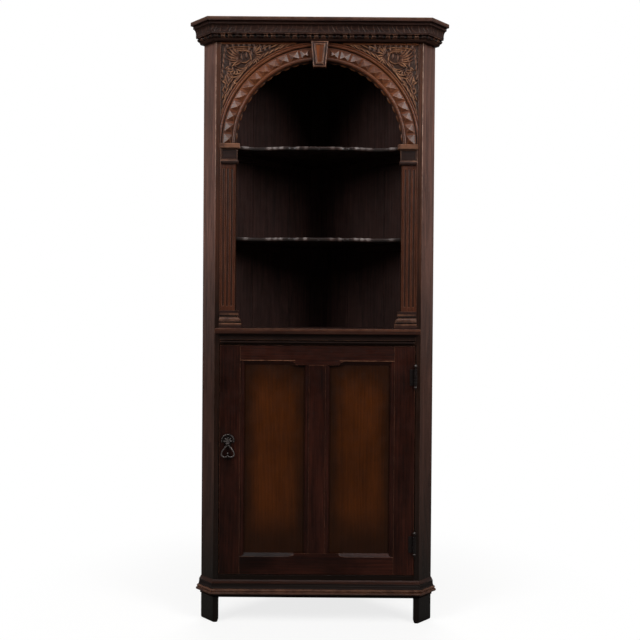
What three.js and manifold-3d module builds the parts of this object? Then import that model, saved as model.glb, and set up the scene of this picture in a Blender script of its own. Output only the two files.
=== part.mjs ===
// Corner cupboard in dark oak. An arched display recess with two shaped shelves stands over a
// cupboard with one panelled door. The two rear walls meet at a right angle, so the piece fits
// the corner of a room. Lengths are in millimetres, +Z is up and the front faces -Y. The origin
// is on the floor, under the middle of the whole piece.

import * as THREE from 'three';
import { mergeVertices } from 'three/addons/utils/BufferGeometryUtils.js';
import Module from 'manifold-3d';

const wasm = await Module();
wasm.setup();

// Carcase
const cupboardHeight = 1780;
const faceWidth = 612; // front face, from one front arris to the other
const cantDepth = 42; // how far each canted corner runs back, and out
const faceStileWidth = 14;
const boardThickness = 20;
const wallThickness = 10;
const wallRebate = 8; // how deep each wall is let into its canted stile
const topThickness = 18;
const footHeight = 76; // clear height under the bottom rail
const footRound = 6; // rounding of the feet's free bottom corners
const footBracket = 6; // how far the foot flares under the bottom rail
const footBracketHeight = 16;
const postLeg = 40;
const seatGap = 0.3; // clearance where slanted faces meet
const boardJointShares = [0.38, 0.7]; // joints between the wall's boards, along the wall
const vGrooveWidth = 5;
const vGrooveDepth = 2;

// Heights of the front, from the bottom rail up
const bottomRailHeight = 66;
const doorHeight = 681;
const doorGap = 2;
const waistRailHeight = 31;
const displayFloorThickness = 18;
const shelfThickness = 12;
const cupboardFloorThickness = 16;
const cupboardShelfThickness = 14;
const cupboardShelfShare = 0.52; // height of the inner shelf, as a share of the door's height
const cupboardShelfSetback = 36;

// Shaped front of the display shelves
const shelfScallop = 18;
const shelfShoulder = 3; // straight edge beside each upright
const shelfCurveShares = [
  [1, 0], [0.93, 0.22], [0.75, 1], [0.56, 0.62], [0.4, 0.08],
  [0.33, 0.42], [0.26, 0.14], [0.13, 0], [0, 0.06],
];
const shelfCurveSteps = 48;

// Shelf cleats, fixed to the walls
const cleatWidth = 14;
const cleatHeight = 18;
const cleatStart = 66; // from the canted face, along the wall
const cleatLength = 230;

// Arch board
const archMargin = 44; // from the arch's foot to the face stile
const archBeadWidth = 10;
const archBeadHeight = 5;
const archBandWidth = 31;
const archBandHeight = 1;
const archRidgeWidth = 15;
const archRidgeHeight = 4.5;
const archRidgeEase = 3;
const archEmbed = 1.5; // how deep applied shapes are sunk where they are joined to the board
const archTuck = 2; // how much of the ridge's crown is cut off under the cornice
const archSegments = 72;
const pointsPerSide = 12; // carved points on each side of the keystone
const pointHeight = 7;
const pointShare = 0.92; // of the pitch that each carved point fills
const spandrelBorder = 7;
const spandrelDepth = 2.5;
const spandrelQuirk = 2;

// Keystone
const keystoneTopWidth = 52;
const keystoneBottomWidth = 38;
const keystoneDrop = 23; // how far it hangs below the crown of the arch
const keystoneProjection = 17;
const keystoneBevel = 2.5;
const keystoneMargin = 6.5;
const keystonePanelRise = 3;

// Pilasters
const pilasterWidth = 45;
const pilasterProjection = 9;
const pilasterMargin = 1; // between the pilaster and the edge of the face stile
const fluteCount = 3;
const flutePitch = 12.5;
const fluteRadius = 3.6;
const fluteRise = 0.6; // how far the flute's centre line stands in front of the shaft
const fluteStop = 12; // from the shaft's ends to the flutes' ends
const fluteSegments = 12;
const upperStileWidth = 46;

// Capitals, from the astragal up; the growths are how far each end steps out, as a share of
// how far the front stands out from the shaft
const astragalHeight = 11;
const astragalStand = 7;
const neckHeight = 34;
const neckStand = 4.5;
const abacusHeight = 15;
const abacusStand = 11;
const abacusEase = 2;
const capitalInnerShare = 1.2;
const capitalOuterShare = 0.5;

// Pilaster bases, from the bottom up
const ovoloHeight = 31;
const ovoloStand = 11;
const ovoloNeck = 4;
const scotiaHeight = 6;
const baseFilletHeight = 15;
const baseFilletStand = 5.5;
const baseInnerShare = 1.9;
const baseOuterShare = 0.15;

// Waist moulding, from the bottom up
const waistOverhang = 11; // past the doorway, at each end
const waistNose = 24;
const waistNoseHeight = 17;
const waistNoseEase = 3.5;
const waistCove = 17;
const waistCoveHeight = 8.5;
const waistFillet = 11;
const waistFilletHeight = 9;
const waistBead = 3;
const waistBeadHeight = 6;
const waistQuirkHeight = 1.5;
const waistLift = 5; // rail left bare between the moulding and the doorway

// Base moulding, from the bottom up
const skirtFoot = 3;
const skirtFootHeight = 2;
const skirtHollowHeight = 10.5;
const skirtHollowTop = 12;
const skirtNose = 19;
const skirtNoseHeight = 8;
const skirtBead = 15.5;
const skirtBeadHeight = 7;
const skirtCoveFoot = 12;
const skirtCoveTop = 7;
const skirtCoveHeight = 15;
const skirtBevelHeight = 9;

// Cornice, from the bottom up
const corniceFoot = 13;
const corniceFootHeight = 6;
const corniceBeadIn = 18;
const corniceBead = 27;
const corniceBeadHeight = 9;
const corniceFillet = 30;
const corniceFilletHeight = 4;
const corniceCoveFoot = 31;
const corniceCoveTop = 41;
const corniceCoveHeight = 21;
const corniceStepHeight = 7;
const corniceProjection = 50;
const corniceFasciaHeight = 11;

// Door
const stileFlat = 61;
const topRailFlat = 45;
const bottomRailFlat = 52;
const muntinFlat = 49;
const panelMould = 13;
const mouldQuirk = 1.2;
const topChamfer = 13;
const bottomChamfer = 10;
const chamferStopShare = 0.28; // where the chamfer starts to fade, from the muntin to the stile
const chamferFadeShare = 0.14; // how much of that way the fade takes
const chamferFadeSteps = 5;
const panelRecess = 9;
const panelThickness = 6;
const grooveDepth = 8;
const grooveSlack = 0.2;
const panelSlack = 0.5;

// Hinges
const hingeHeight = 48;
const hingeInset = 92; // from the door's end to the middle of the hinge
const knuckleRadius = 5;
const knuckleCount = 5;
const knuckleGap = 0.3;
const pinRadius = 2.2;
const pinSlack = 0.2;
const hingeLeafThickness = 1.4;
const frameLeafWidth = 18;
const doorLeafWidth = 11;
const leafOverlap = 1; // how far a leaf's lug runs into its knuckle
const ballRadius = 4.8;
const collarRadius = 3.4;
const collarHeight = 1.6;
const steepleLength = 17;
const steepleRadius = 4.6;
const steepleWaist = 2.6;

// Handle
const handleInset = 26; // from the door's free edge to the handle's middle
const handleHeightShare = 0.57; // height of the pivot, as a share of the door's height
const plateRadius = 20;
const plateThickness = 2;
const plateDrop = 6; // how far the plate reaches below the pivot
const plateRise = 10; // from the pivot to the centre of the plate's arch
const plateWaist = 8.5;
const plateEarRadius = 6.5;
const piercingRadius = 3.4;
const piercingRing = 12;
const piercingCount = 5;
const piercingSweepShare = 0.82; // of the half turn that the piercings spread over
const pivotStand = 6; // pivot axis, in front of the door
const pivotRadius = 1.5;
const lugThickness = 2.4;
const lugRadius = 3.2;
const eyeRadius = 3.2;
const eyeWidth = 8;
const eyeSlack = 0.3;
const wireRadius = 2.4;
const ringReach = 39; // from the pivot to the lowest wire
const ringSpread = 19; // from the middle to the widest wire
const ringBallRadius = 3.4;
const ringBallShare = 0.72; // height of the ball, as a share of the ring's reach
const ringShares = [
  [-0.04, 0], [-0.07, 0.1], [-0.34, 0.23], [-0.66, 0.42], [-0.93, 0.65], [-0.98, 0.85],
  [-0.6, 1], [-0.17, 0.97], [0, 0.86], [0.17, 0.97], [0.6, 1],
  [0.98, 0.85], [0.93, 0.65], [0.66, 0.42], [0.34, 0.23], [0.07, 0.1], [0.04, 0],
];
const ringSteps = 44;
const wireSides = 8;

// Door catch
const catchWidth = 40;
const catchDepth = 20;
const catchHeight = 14;
const strikeWidth = 24;
const strikeHeight = 11;
const strikeThickness = 1.2;
const catchInset = 30; // from the door's free edge to the catch's middle

// Rounding
const curveSegments = 8;
const roundSegments = 16;

// Worked out from the sizes above
const mitre = Math.tan(Math.PI / 8);
const mitreGap = seatGap / Math.cos(Math.PI / 8);
const slantGap = seatGap * Math.SQRT2;
const overrun = boardThickness; // how far cuts run past what they cut

const faceHalf = faceWidth / 2;
const bodyHalf = faceHalf + cantDepth;
const bodyDepth = cantDepth + bodyHalf;
const cantFace = cantDepth * Math.SQRT2;
const wallLength = bodyHalf * Math.SQRT2;
const frontY = corniceProjection - (corniceProjection + bodyDepth) / 2;
const innerCornerY = bodyDepth - wallThickness * Math.SQRT2;
const postFrontY = innerCornerY - slantGap - postLeg * Math.SQRT1_2;

const doorwayHalf = faceHalf - faceStileWidth;
const doorHalf = doorwayHalf - doorGap;
const cupboardFloorTop = footHeight + bottomRailHeight;
const doorBottom = cupboardFloorTop + doorGap;
const doorTop = doorBottom + doorHeight;
const waistRailBottom = doorTop + doorGap;
const displayFloorBottom = waistRailBottom + waistRailHeight;
const displayFloorTop = displayFloorBottom + displayFloorThickness;
const carcaseTop = cupboardHeight - topThickness;
const cupboardShelfTop = doorBottom + doorHeight * cupboardShelfShare;
const cupboardShelfBottom = cupboardShelfTop - cupboardShelfThickness;

const corniceHeights = [
  corniceFootHeight, corniceBeadHeight, corniceFilletHeight,
  corniceCoveHeight, corniceStepHeight, corniceFasciaHeight,
];
const corniceBottom = cupboardHeight - corniceHeights.reduce((sum, height) => sum + height);

const archRadius = doorwayHalf - archMargin;
const bandInner = archRadius + archBeadWidth;
const bandOuter = bandInner + archBandWidth;
const ridgeOuter = bandOuter + archRidgeWidth;
const springing = corniceBottom + archTuck - ridgeOuter;
const upperShelfTop = springing;
const lowerShelfTop = (displayFloorTop + upperShelfTop) / 2;
const shelfHalfSpan = doorwayHalf - upperStileWidth - shelfShoulder;

const shaftOuter = doorwayHalf - pilasterMargin;
const shaftInner = shaftOuter - pilasterWidth;
const capitalHeight = astragalHeight + neckHeight + abacusHeight;
const pilasterBaseHeight = ovoloHeight + scotiaHeight + baseFilletHeight;
const shaftBottom = displayFloorTop + pilasterBaseHeight;
const shaftTop = springing - capitalHeight;

const stileInner = doorHalf - stileFlat - panelMould;
const topRailBottom = doorTop - topRailFlat - topChamfer;
const bottomRailTop = doorBottom + bottomRailFlat + bottomChamfer;
const muntinHalf = muntinFlat / 2 + panelMould;
const grooveFront = panelRecess - grooveSlack;
const grooveBack = panelRecess + panelThickness + grooveSlack;

const hingeX = doorwayHalf - hingeLeafThickness / 2 - seatGap;
const hingeY = -knuckleRadius - seatGap;
const upperHingeZ = doorTop - hingeInset;
const lowerHingeZ = doorBottom + hingeInset;

const handleX = handleInset - doorHalf;
const handleZ = doorBottom + doorHeight * handleHeightShare;

// Finishes
const finishes = {
  oakDark: new THREE.MeshStandardMaterial({ color: 0x2a1a14, roughness: 0.42, metalness: 0 }),
  oakSide: new THREE.MeshStandardMaterial({ color: 0x3a2c24, roughness: 0.45, metalness: 0 }),
  oakWarm: new THREE.MeshStandardMaterial({ color: 0x4e2c18, roughness: 0.4, metalness: 0 }),
  oakAmber: new THREE.MeshStandardMaterial({ color: 0x7a4420, roughness: 0.38, metalness: 0 }),
  oakPanel: new THREE.MeshStandardMaterial({ color: 0x40200f, roughness: 0.36, metalness: 0 }),
  oakInside: new THREE.MeshStandardMaterial({ color: 0x1c120d, roughness: 0.7, metalness: 0 }),
  iron: new THREE.MeshStandardMaterial({ color: 0x2b2a29, roughness: 0.5, metalness: 0.85 }),
  steel: new THREE.MeshStandardMaterial({ color: 0x77726b, roughness: 0.4, metalness: 0.9 }),
};

// A closed geometry as a solid that can be joined and cut
function solid(geometry) {
  const bare = new THREE.BufferGeometry();
  bare.setAttribute('position', geometry.attributes.position);
  bare.setIndex(geometry.index);
  const merged = mergeVertices(bare);
  const corners = merged.index.array;
  const triangles = [];
  for (let i = 0; i < corners.length; i += 3) {
    const [a, b, c] = corners.slice(i, i + 3);
    if (a !== b && b !== c && c !== a) triangles.push(a, b, c);
  }
  return new wasm.Manifold(new wasm.Mesh({
    numProp: 3,
    vertProperties: merged.attributes.position.array,
    triVerts: Uint32Array.from(triangles),
  }));
}

function geometryOf(body) {
  const mesh = body.getMesh();
  const geometry = new THREE.BufferGeometry();
  geometry.setAttribute('position', new THREE.BufferAttribute(mesh.vertProperties, 3));
  geometry.setIndex(new THREE.BufferAttribute(mesh.triVerts, 1));
  geometry.computeVertexNormals();
  return geometry;
}

function joined(geometries) {
  return geometries.map(solid).reduce((whole, next) => whole.add(next));
}

function box(x0, x1, y0, y1, z0, z1) {
  const geometry = new THREE.BoxGeometry(x1 - x0, y1 - y0, z1 - z0);
  return geometry.translate((x0 + x1) / 2, (y0 + y1) / 2, (z0 + z1) / 2);
}

// An upright prism over a plan outline
function prism(outline, z0, z1) {
  const shape = outline instanceof THREE.Shape ? outline : new THREE.Shape(outline);
  const geometry = new THREE.ExtrudeGeometry(shape, {
    depth: z1 - z0, bevelEnabled: false, curveSegments,
  });
  return geometry.translate(0, 0, z0);
}

// A slab that stands in the front plane, cut to an elevation outline, from depth y0 to y1
function slab(shape, y0, y1, segments = curveSegments) {
  const geometry = new THREE.ExtrudeGeometry(shape, {
    depth: y1 - y0, bevelEnabled: false, curveSegments: segments,
  });
  return geometry.rotateX(Math.PI / 2).translate(0, y1, 0);
}

// Plan points given for the right-hand side, turned to either side
function onSide(side, points) {
  return points.map(([x, y]) => new THREE.Vector2(side * x, y));
}

// A closed skin through rings of points, each ring turning left about the way they are stacked
function loft(rings) {
  const count = rings[0].length;
  const positions = rings.flat(2);
  const indices = [];
  for (let level = 0; level + 1 < rings.length; level += 1) {
    for (let i = 0; i < count; i += 1) {
      const a = level * count + i;
      const b = level * count + (i + 1) % count;
      indices.push(a, b, b + count, a, b + count, a + count);
    }
  }
  const last = (rings.length - 1) * count;
  for (let i = 1; i + 1 < count; i += 1) {
    indices.push(0, i + 1, i);
    indices.push(last, last + i, last + i + 1);
  }
  const geometry = new THREE.BufferGeometry();
  geometry.setAttribute('position', new THREE.Float32BufferAttribute(positions, 3));
  geometry.setIndex(indices);
  geometry.computeVertexNormals();
  return geometry;
}

// A block with a flat back and the same moulding on its front and both ends. The outline runs
// from the bottom up, with how far the moulding stands out as x and its height as y.
function returnedBlock(outline, { left, right, projection, leftShare, rightShare, base }) {
  const rings = outline.getPoints(curveSegments).map(({ x: stand, y: height }) => {
    const x0 = left - stand * leftShare;
    const x1 = right + stand * rightShare;
    const front = -(projection + stand);
    const z = base + height;
    return [[x0, 0, z], [x0, front, z], [x1, front, z], [x1, 0, z]];
  });
  return loft(rings);
}

// A length of moulding whose ends are cut to a mitre. The profile's x is how far it stands
// out and its y is its height; the two functions give where it starts and ends for each x.
function mouldingRun(profile, startAt, endAt) {
  const geometry = new THREE.ExtrudeGeometry(profile, {
    depth: 1, bevelEnabled: false, curveSegments,
  });
  const position = geometry.attributes.position;
  for (let i = 0; i < position.count; i += 1) {
    const stand = position.getX(i);
    const height = position.getY(i);
    const x = position.getZ(i) > 0 ? startAt(stand) : endAt(stand);
    position.setXYZ(i, x, -stand, height);
  }
  geometry.computeVertexNormals();
  return geometry;
}

function frontRun(profile) {
  const reach = (stand) => faceHalf + stand * mitre;
  return mouldingRun(profile, (stand) => -reach(stand), reach);
}

function sideRun(profile, side) {
  const mitred = (stand) => side * (mitreGap - stand * mitre);
  const square = () => side * cantFace;
  return side > 0 ? mouldingRun(profile, mitred, square) : mouldingRun(profile, square, mitred);
}

function add(group, name, geometry, finish) {
  const mesh = new THREE.Mesh(geometry, finishes[finish]);
  mesh.name = name;
  group.add(mesh);
}

// Carcase: stiles, walls, post and boards

// Elevation of a stile and its foot, from the edge that is free at the foot to the arris
function footedOutline(free, arris, bracket) {
  const towards = Math.sign(arris - free);
  const round = free + towards * footRound;
  const shape = new THREE.Shape();
  shape.moveTo(arris, 0);
  shape.lineTo(arris, carcaseTop);
  shape.lineTo(free, carcaseTop);
  shape.lineTo(free, footHeight);
  shape.lineTo(free - towards * bracket, footHeight);
  shape.quadraticCurveTo(free, footHeight, free, footHeight - footBracketHeight);
  shape.lineTo(free, footRound);
  shape.quadraticCurveTo(free, 0, round, 0);
  return shape;
}

function faceStile(side) {
  const arris = faceHalf - mitreGap;
  const flare = doorwayHalf - footBracket;
  const points = onSide(side, [
    [flare, 0], [arris, 0],
    [arris - boardThickness * mitre, boardThickness], [flare, boardThickness],
  ]);
  const outline = footedOutline(side * doorwayHalf, side * faceHalf, footBracket);
  const face = slab(outline, 0, boardThickness);
  return geometryOf(solid(prism(points, 0, carcaseTop)).intersect(solid(face)));
}

function sideStile(side) {
  const shoulder = cantFace - wallThickness - seatGap;
  const tongue = boardThickness - wallRebate;
  const points = onSide(side, [
    [0, 0], [cantFace, 0], [cantFace, tongue], [shoulder, tongue],
    [shoulder, boardThickness], [boardThickness * mitre, boardThickness],
  ]);
  const face = slab(footedOutline(side * cantFace, 0, 0), 0, boardThickness);
  return geometryOf(solid(prism(points, 0, carcaseTop)).intersect(solid(face)));
}

function wall(side) {
  const inner = cantFace - wallThickness;
  const start = boardThickness - wallRebate + seatGap;
  const points = [[cantFace, start], [cantFace, wallLength - seatGap]];
  points.push([inner, wallLength - wallThickness - seatGap]);
  for (const share of [...boardJointShares].reverse()) {
    const joint = wallLength * share;
    points.push([inner, joint + vGrooveWidth / 2]);
    points.push([inner + vGrooveDepth, joint]);
    points.push([inner, joint - vGrooveWidth / 2]);
  }
  points.push([inner, start]);
  return prism(onSide(side, points), footHeight, carcaseTop);
}

function rearPost() {
  const half = postLeg * Math.SQRT1_2;
  const corner = innerCornerY - slantGap;
  const points = onSide(1, [[0, corner], [-half, postFrontY], [half, postFrontY]]);
  return prism(points, 0, carcaseTop);
}

function topBoard() {
  const points = onSide(1, [
    [-faceHalf, 0], [faceHalf, 0], [bodyHalf, cantDepth], [0, bodyDepth], [-bodyHalf, cantDepth],
  ]);
  return prism(points, carcaseTop, cupboardHeight);
}

// Plan points of a shelf's right-hand edge, from where it meets the stiles round to the post
function shelfEdge(startY) {
  const stileLine = faceHalf - boardThickness * Math.SQRT2 - slantGap;
  const wallLine = innerCornerY - slantGap;
  const cornerY = (wallLine - stileLine) / 2;
  return [
    [stileLine + startY, startY], [stileLine + cornerY, cornerY],
    [wallLine - postFrontY, postFrontY],
  ];
}

function mirroredOutline(rightPoints) {
  const leftPoints = [...rightPoints].reverse().map(([x, y]) => [-x, y]);
  return onSide(1, [...rightPoints, ...leftPoints]);
}

function plainShelf(front, z0, z1) {
  return prism(mirroredOutline(shelfEdge(front)), z0, z1);
}

function displayFloor() {
  const edge = [[doorwayHalf, 0], [doorwayHalf, boardThickness], ...shelfEdge(boardThickness)];
  return prism(mirroredOutline(edge), displayFloorBottom, displayFloorTop);
}

// The front edge swings in and out between the stiles, alike on both sides of the middle
function shapedShelf(top) {
  const control = [];
  for (const [across, back] of shelfCurveShares) {
    control.push([across * shelfHalfSpan, boardThickness + back * shelfScallop]);
  }
  const right = control.map(([x, y]) => new THREE.Vector2(x, y));
  const left = control.slice(0, -1).reverse().map(([x, y]) => new THREE.Vector2(-x, y));
  const curve = new THREE.SplineCurve([...left.reverse(), ...[...right].reverse()]);
  const front = curve.getPoints(shelfCurveSteps).map(({ x, y }) => [x, y]);
  const edge = shelfEdge(boardThickness);
  const outline = [...front, ...edge, ...[...edge].reverse().map(([x, y]) => [-x, y])];
  return prism(onSide(1, outline), top - shelfThickness, top);
}

function cleat(side, top) {
  const back = cantFace - wallThickness - seatGap;
  const points = onSide(side, [
    [back - cleatWidth, cleatStart], [back, cleatStart],
    [back, cleatStart + cleatLength], [back - cleatWidth, cleatStart + cleatLength],
  ]);
  return prism(points, top - cleatHeight, top);
}

// Arch board, with its bead, its band of carved points and its outer ridge

function archRing() {
  const profile = new THREE.Path();
  profile.moveTo(archRadius, archEmbed);
  profile.lineTo(ridgeOuter, archEmbed);
  profile.lineTo(ridgeOuter, -archBandHeight);
  profile.lineTo(ridgeOuter - archRidgeEase, -archRidgeHeight);
  profile.lineTo(bandOuter + archRidgeEase, -archRidgeHeight);
  profile.lineTo(bandOuter, -archBandHeight);
  profile.lineTo(bandInner, -archBandHeight);
  profile.absellipse(
    archRadius + archBeadWidth / 2, -archBandHeight,
    archBeadWidth / 2, archBeadHeight - archBandHeight, 0, -Math.PI, true,
  );
  profile.lineTo(archRadius, archEmbed);
  const points = profile.getPoints(curveSegments / 2).reverse();
  const ring = solid(new THREE.LatheGeometry(points, archSegments).translate(0, 0, springing));
  const room = box(
    -doorwayHalf, doorwayHalf, -overrun, archEmbed, springing, corniceBottom,
  );
  return ring.intersect(solid(room));
}

// One carved four-sided point on the band, at an angle from the arch's crown
function carvedPoint(angle, pitch) {
  const middle = (bandInner + bandOuter) / 2;
  const along = middle * pitch * pointShare;
  const across = archBandWidth * pointShare;
  const rise = pointHeight + archEmbed;
  const geometry = new THREE.ConeGeometry(Math.SQRT1_2, 1, 4).rotateY(Math.PI / 4);
  geometry.rotateX(Math.PI).scale(along, rise, across);
  geometry.translate(0, -rise / 2 + archEmbed, middle).rotateY(angle);
  return geometry.translate(0, 0, springing);
}

function carvedPoints() {
  const middle = (bandInner + bandOuter) / 2;
  const keystoneAngle = Math.asin(keystoneTopWidth / 2 / middle);
  const pitch = (Math.PI / 2 - keystoneAngle) / pointsPerSide;
  const points = [];
  for (let i = 0; i < pointsPerSide; i += 1) {
    const angle = keystoneAngle + (i + 1 / 2) * pitch;
    points.push(carvedPoint(angle, pitch), carvedPoint(-angle, pitch));
  }
  return joined(points);
}

function spandrel(side) {
  const radius = ridgeOuter + spandrelQuirk;
  const outerX = doorwayHalf - spandrelBorder;
  const rise = corniceBottom - spandrelBorder - springing;
  const lowAngle = Math.acos(outerX / radius);
  const highAngle = Math.asin(rise / radius);
  const shape = new THREE.Shape();
  shape.moveTo(outerX, springing + rise);
  shape.lineTo(radius * Math.cos(highAngle), springing + rise);
  shape.absarc(0, springing, radius, highAngle, lowAngle, true);
  shape.lineTo(outerX, springing + rise);
  const cut = slab(shape, -spandrelDepth, spandrelDepth);
  return solid(side > 0 ? cut : cut.rotateZ(Math.PI));
}

function archBoard() {
  const shape = new THREE.Shape();
  shape.moveTo(-doorwayHalf, springing);
  shape.lineTo(-archRadius, springing);
  shape.absarc(0, springing, archRadius, Math.PI, 0, true);
  shape.lineTo(doorwayHalf, springing);
  shape.lineTo(doorwayHalf, carcaseTop);
  shape.lineTo(-doorwayHalf, carcaseTop);
  const board = solid(slab(shape, 0, boardThickness, archSegments / 2));
  const pocket = slab(keystoneOutline(seatGap), -overrun, 0);
  return geometryOf(board
    .subtract(spandrel(1)).subtract(spandrel(-1))
    .add(archRing()).add(carvedPoints())
    .subtract(solid(pocket)));
}

function keystoneOutline(grow) {
  const top = corniceBottom + grow;
  const bottom = springing + archRadius - keystoneDrop - grow;
  const topHalf = keystoneTopWidth / 2 + grow;
  const bottomHalf = keystoneBottomWidth / 2 + grow;
  const shape = new THREE.Shape();
  shape.moveTo(-bottomHalf, bottom);
  shape.lineTo(bottomHalf, bottom);
  shape.lineTo(topHalf, top);
  shape.lineTo(-topHalf, top);
  return shape;
}

// A raised slab whose front edges are bevelled, between two depths in front of the face
function bevelledSlab(shape, y0, y1, bevel) {
  const geometry = new THREE.ExtrudeGeometry(shape, {
    depth: y0 - y1 - bevel, bevelThickness: bevel, bevelSize: bevel, bevelOffset: -bevel,
    bevelSegments: 1, curveSegments,
  });
  return geometry.rotateX(Math.PI / 2).translate(0, y0, 0);
}

function keystone() {
  const body = solid(bevelledSlab(keystoneOutline(0), 0, -keystoneProjection, keystoneBevel));
  const front = box(
    -faceHalf, faceHalf, -keystoneProjection - overrun, 0, springing, cupboardHeight,
  );
  const panel = bevelledSlab(
    keystoneOutline(-keystoneMargin), 0, -keystoneProjection - keystonePanelRise,
    keystonePanelRise,
  );
  return geometryOf(body.add(solid(panel)).intersect(solid(front)));
}

// Pilasters, with their capitals and bases

function sidedBlock(side, outline, innerShare, outerShare, base) {
  const right = side > 0;
  return returnedBlock(outline, {
    left: right ? shaftInner : -shaftOuter,
    right: right ? shaftOuter : -shaftInner,
    projection: pilasterProjection,
    leftShare: right ? innerShare : outerShare,
    rightShare: right ? outerShare : innerShare,
    base,
  });
}

function capital(side) {
  const neckBottom = astragalHeight;
  const abacusBottom = neckBottom + neckHeight;
  const outline = new THREE.Path();
  outline.moveTo(0, 0);
  outline.lineTo(neckStand, 0);
  outline.absellipse(
    neckStand, astragalHeight / 2, astragalStand - neckStand, astragalHeight / 2,
    -Math.PI / 2, Math.PI / 2,
  );
  outline.lineTo(neckStand, abacusBottom);
  outline.lineTo(abacusStand - abacusEase, abacusBottom);
  outline.lineTo(abacusStand, abacusBottom + abacusEase);
  outline.lineTo(abacusStand, capitalHeight - abacusEase);
  outline.lineTo(abacusStand - abacusEase, capitalHeight);
  return sidedBlock(side, outline, capitalInnerShare, capitalOuterShare, shaftTop);
}

function pilasterBase(side) {
  const filletBottom = ovoloHeight + scotiaHeight;
  const outline = new THREE.Path();
  outline.moveTo(ovoloStand, 0);
  outline.quadraticCurveTo(ovoloStand, ovoloHeight, ovoloNeck, ovoloHeight);
  outline.lineTo(ovoloNeck, filletBottom);
  outline.lineTo(baseFilletStand, filletBottom);
  outline.lineTo(baseFilletStand, pilasterBaseHeight);
  return sidedBlock(side, outline, baseInnerShare, baseOuterShare, displayFloorTop);
}

function pilaster(side) {
  const middle = side * (shaftInner + shaftOuter) / 2;
  const half = pilasterWidth / 2;
  let shaft = solid(box(
    middle - half, middle + half, -pilasterProjection, 0, shaftBottom, shaftTop,
  ));
  const length = shaftTop - shaftBottom - 2 * (fluteStop + fluteRadius);
  for (let i = 0; i < fluteCount; i += 1) {
    const offset = (i - (fluteCount - 1) / 2) * flutePitch;
    const flute = new THREE.CapsuleGeometry(fluteRadius, length, fluteSegments / 4, fluteSegments);
    flute.rotateX(Math.PI / 2);
    flute.translate(middle + offset, -pilasterProjection - fluteRise, (shaftTop + shaftBottom) / 2);
    shaft = shaft.subtract(solid(flute));
  }
  return geometryOf(shaft);
}

function upperStile(side) {
  const points = onSide(side, [
    [doorwayHalf - upperStileWidth, 0], [doorwayHalf, 0],
    [doorwayHalf, boardThickness], [doorwayHalf - upperStileWidth, boardThickness],
  ]);
  return prism(points, displayFloorTop, springing);
}

// Mouldings

function waistMoulding() {
  const height = displayFloorTop - waistRailBottom - waistLift;
  const reach = doorwayHalf + waistOverhang - waistNose;
  const filletBottom = height - waistNoseHeight - waistCoveHeight - waistFilletHeight;
  const beadMiddle = waistBeadHeight / 2;
  const outline = new THREE.Path();
  outline.moveTo(0, 0);
  outline.lineTo(waistFillet / 2, 0);
  outline.absellipse(
    waistFillet / 2, beadMiddle, waistBead, beadMiddle, -Math.PI / 2, Math.PI / 2,
  );
  outline.lineTo(waistFillet / 2, waistBeadHeight + waistQuirkHeight);
  outline.lineTo(waistFillet, filletBottom);
  outline.lineTo(waistFillet, filletBottom + waistFilletHeight);
  outline.quadraticCurveTo(
    waistFillet, height - waistNoseHeight, waistCove, height - waistNoseHeight,
  );
  outline.lineTo(waistNose - waistNoseEase, height - waistNoseHeight);
  outline.quadraticCurveTo(
    waistNose, height - waistNoseHeight, waistNose, height - waistNoseHeight + waistNoseEase,
  );
  outline.lineTo(waistNose, height - waistNoseEase);
  outline.quadraticCurveTo(waistNose, height, waistNose - waistNoseEase, height);
  return returnedBlock(outline, {
    left: -reach,
    right: reach,
    projection: 0,
    leftShare: 1,
    rightShare: 1,
    base: displayFloorTop - height,
  });
}

function skirtProfile(back) {
  const footTop = footHeight + skirtFootHeight;
  const noseBottom = footTop + skirtHollowHeight;
  const beadBottom = noseBottom + skirtNoseHeight;
  const coveBottom = beadBottom + skirtBeadHeight;
  const coveTop = coveBottom + skirtCoveHeight;
  const shape = new THREE.Shape();
  shape.moveTo(back, footHeight);
  shape.lineTo(skirtFoot, footHeight);
  shape.lineTo(skirtFoot, footTop);
  shape.quadraticCurveTo(skirtFoot, noseBottom, skirtHollowTop, noseBottom);
  shape.lineTo(skirtBead, noseBottom);
  shape.absellipse(
    skirtBead, noseBottom + skirtNoseHeight / 2, skirtNose - skirtBead, skirtNoseHeight / 2,
    -Math.PI / 2, Math.PI / 2,
  );
  shape.lineTo(skirtCoveFoot, beadBottom);
  shape.absellipse(
    skirtCoveFoot, beadBottom + skirtBeadHeight / 2, skirtBead - skirtCoveFoot,
    skirtBeadHeight / 2, -Math.PI / 2, Math.PI / 2,
  );
  shape.quadraticCurveTo(skirtCoveTop, coveBottom, skirtCoveTop, coveTop);
  shape.lineTo(back, coveTop + skirtBevelHeight);
  return shape;
}

function corniceProfile(back) {
  let z = corniceBottom;
  const shape = new THREE.Shape();
  shape.moveTo(back, z);
  shape.lineTo(corniceFoot, z);
  z += corniceFootHeight;
  shape.lineTo(corniceBeadIn, z);
  shape.absellipse(
    corniceBeadIn, z + corniceBeadHeight / 2, corniceBead - corniceBeadIn,
    corniceBeadHeight / 2, -Math.PI / 2, Math.PI / 2,
  );
  z += corniceBeadHeight;
  shape.lineTo(corniceFillet, z);
  z += corniceFilletHeight;
  shape.lineTo(corniceFillet, z);
  shape.lineTo(corniceCoveFoot, z);
  z += corniceCoveHeight;
  shape.quadraticCurveTo(corniceCoveFoot, z, corniceCoveTop, z);
  z += corniceStepHeight;
  shape.lineTo(corniceCoveTop, z);
  shape.lineTo(corniceProjection, z);
  shape.lineTo(corniceProjection, cupboardHeight);
  shape.lineTo(back, cupboardHeight);
  return shape;
}

// Door: grooved frame of stiles, rails and muntin round two panels

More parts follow.
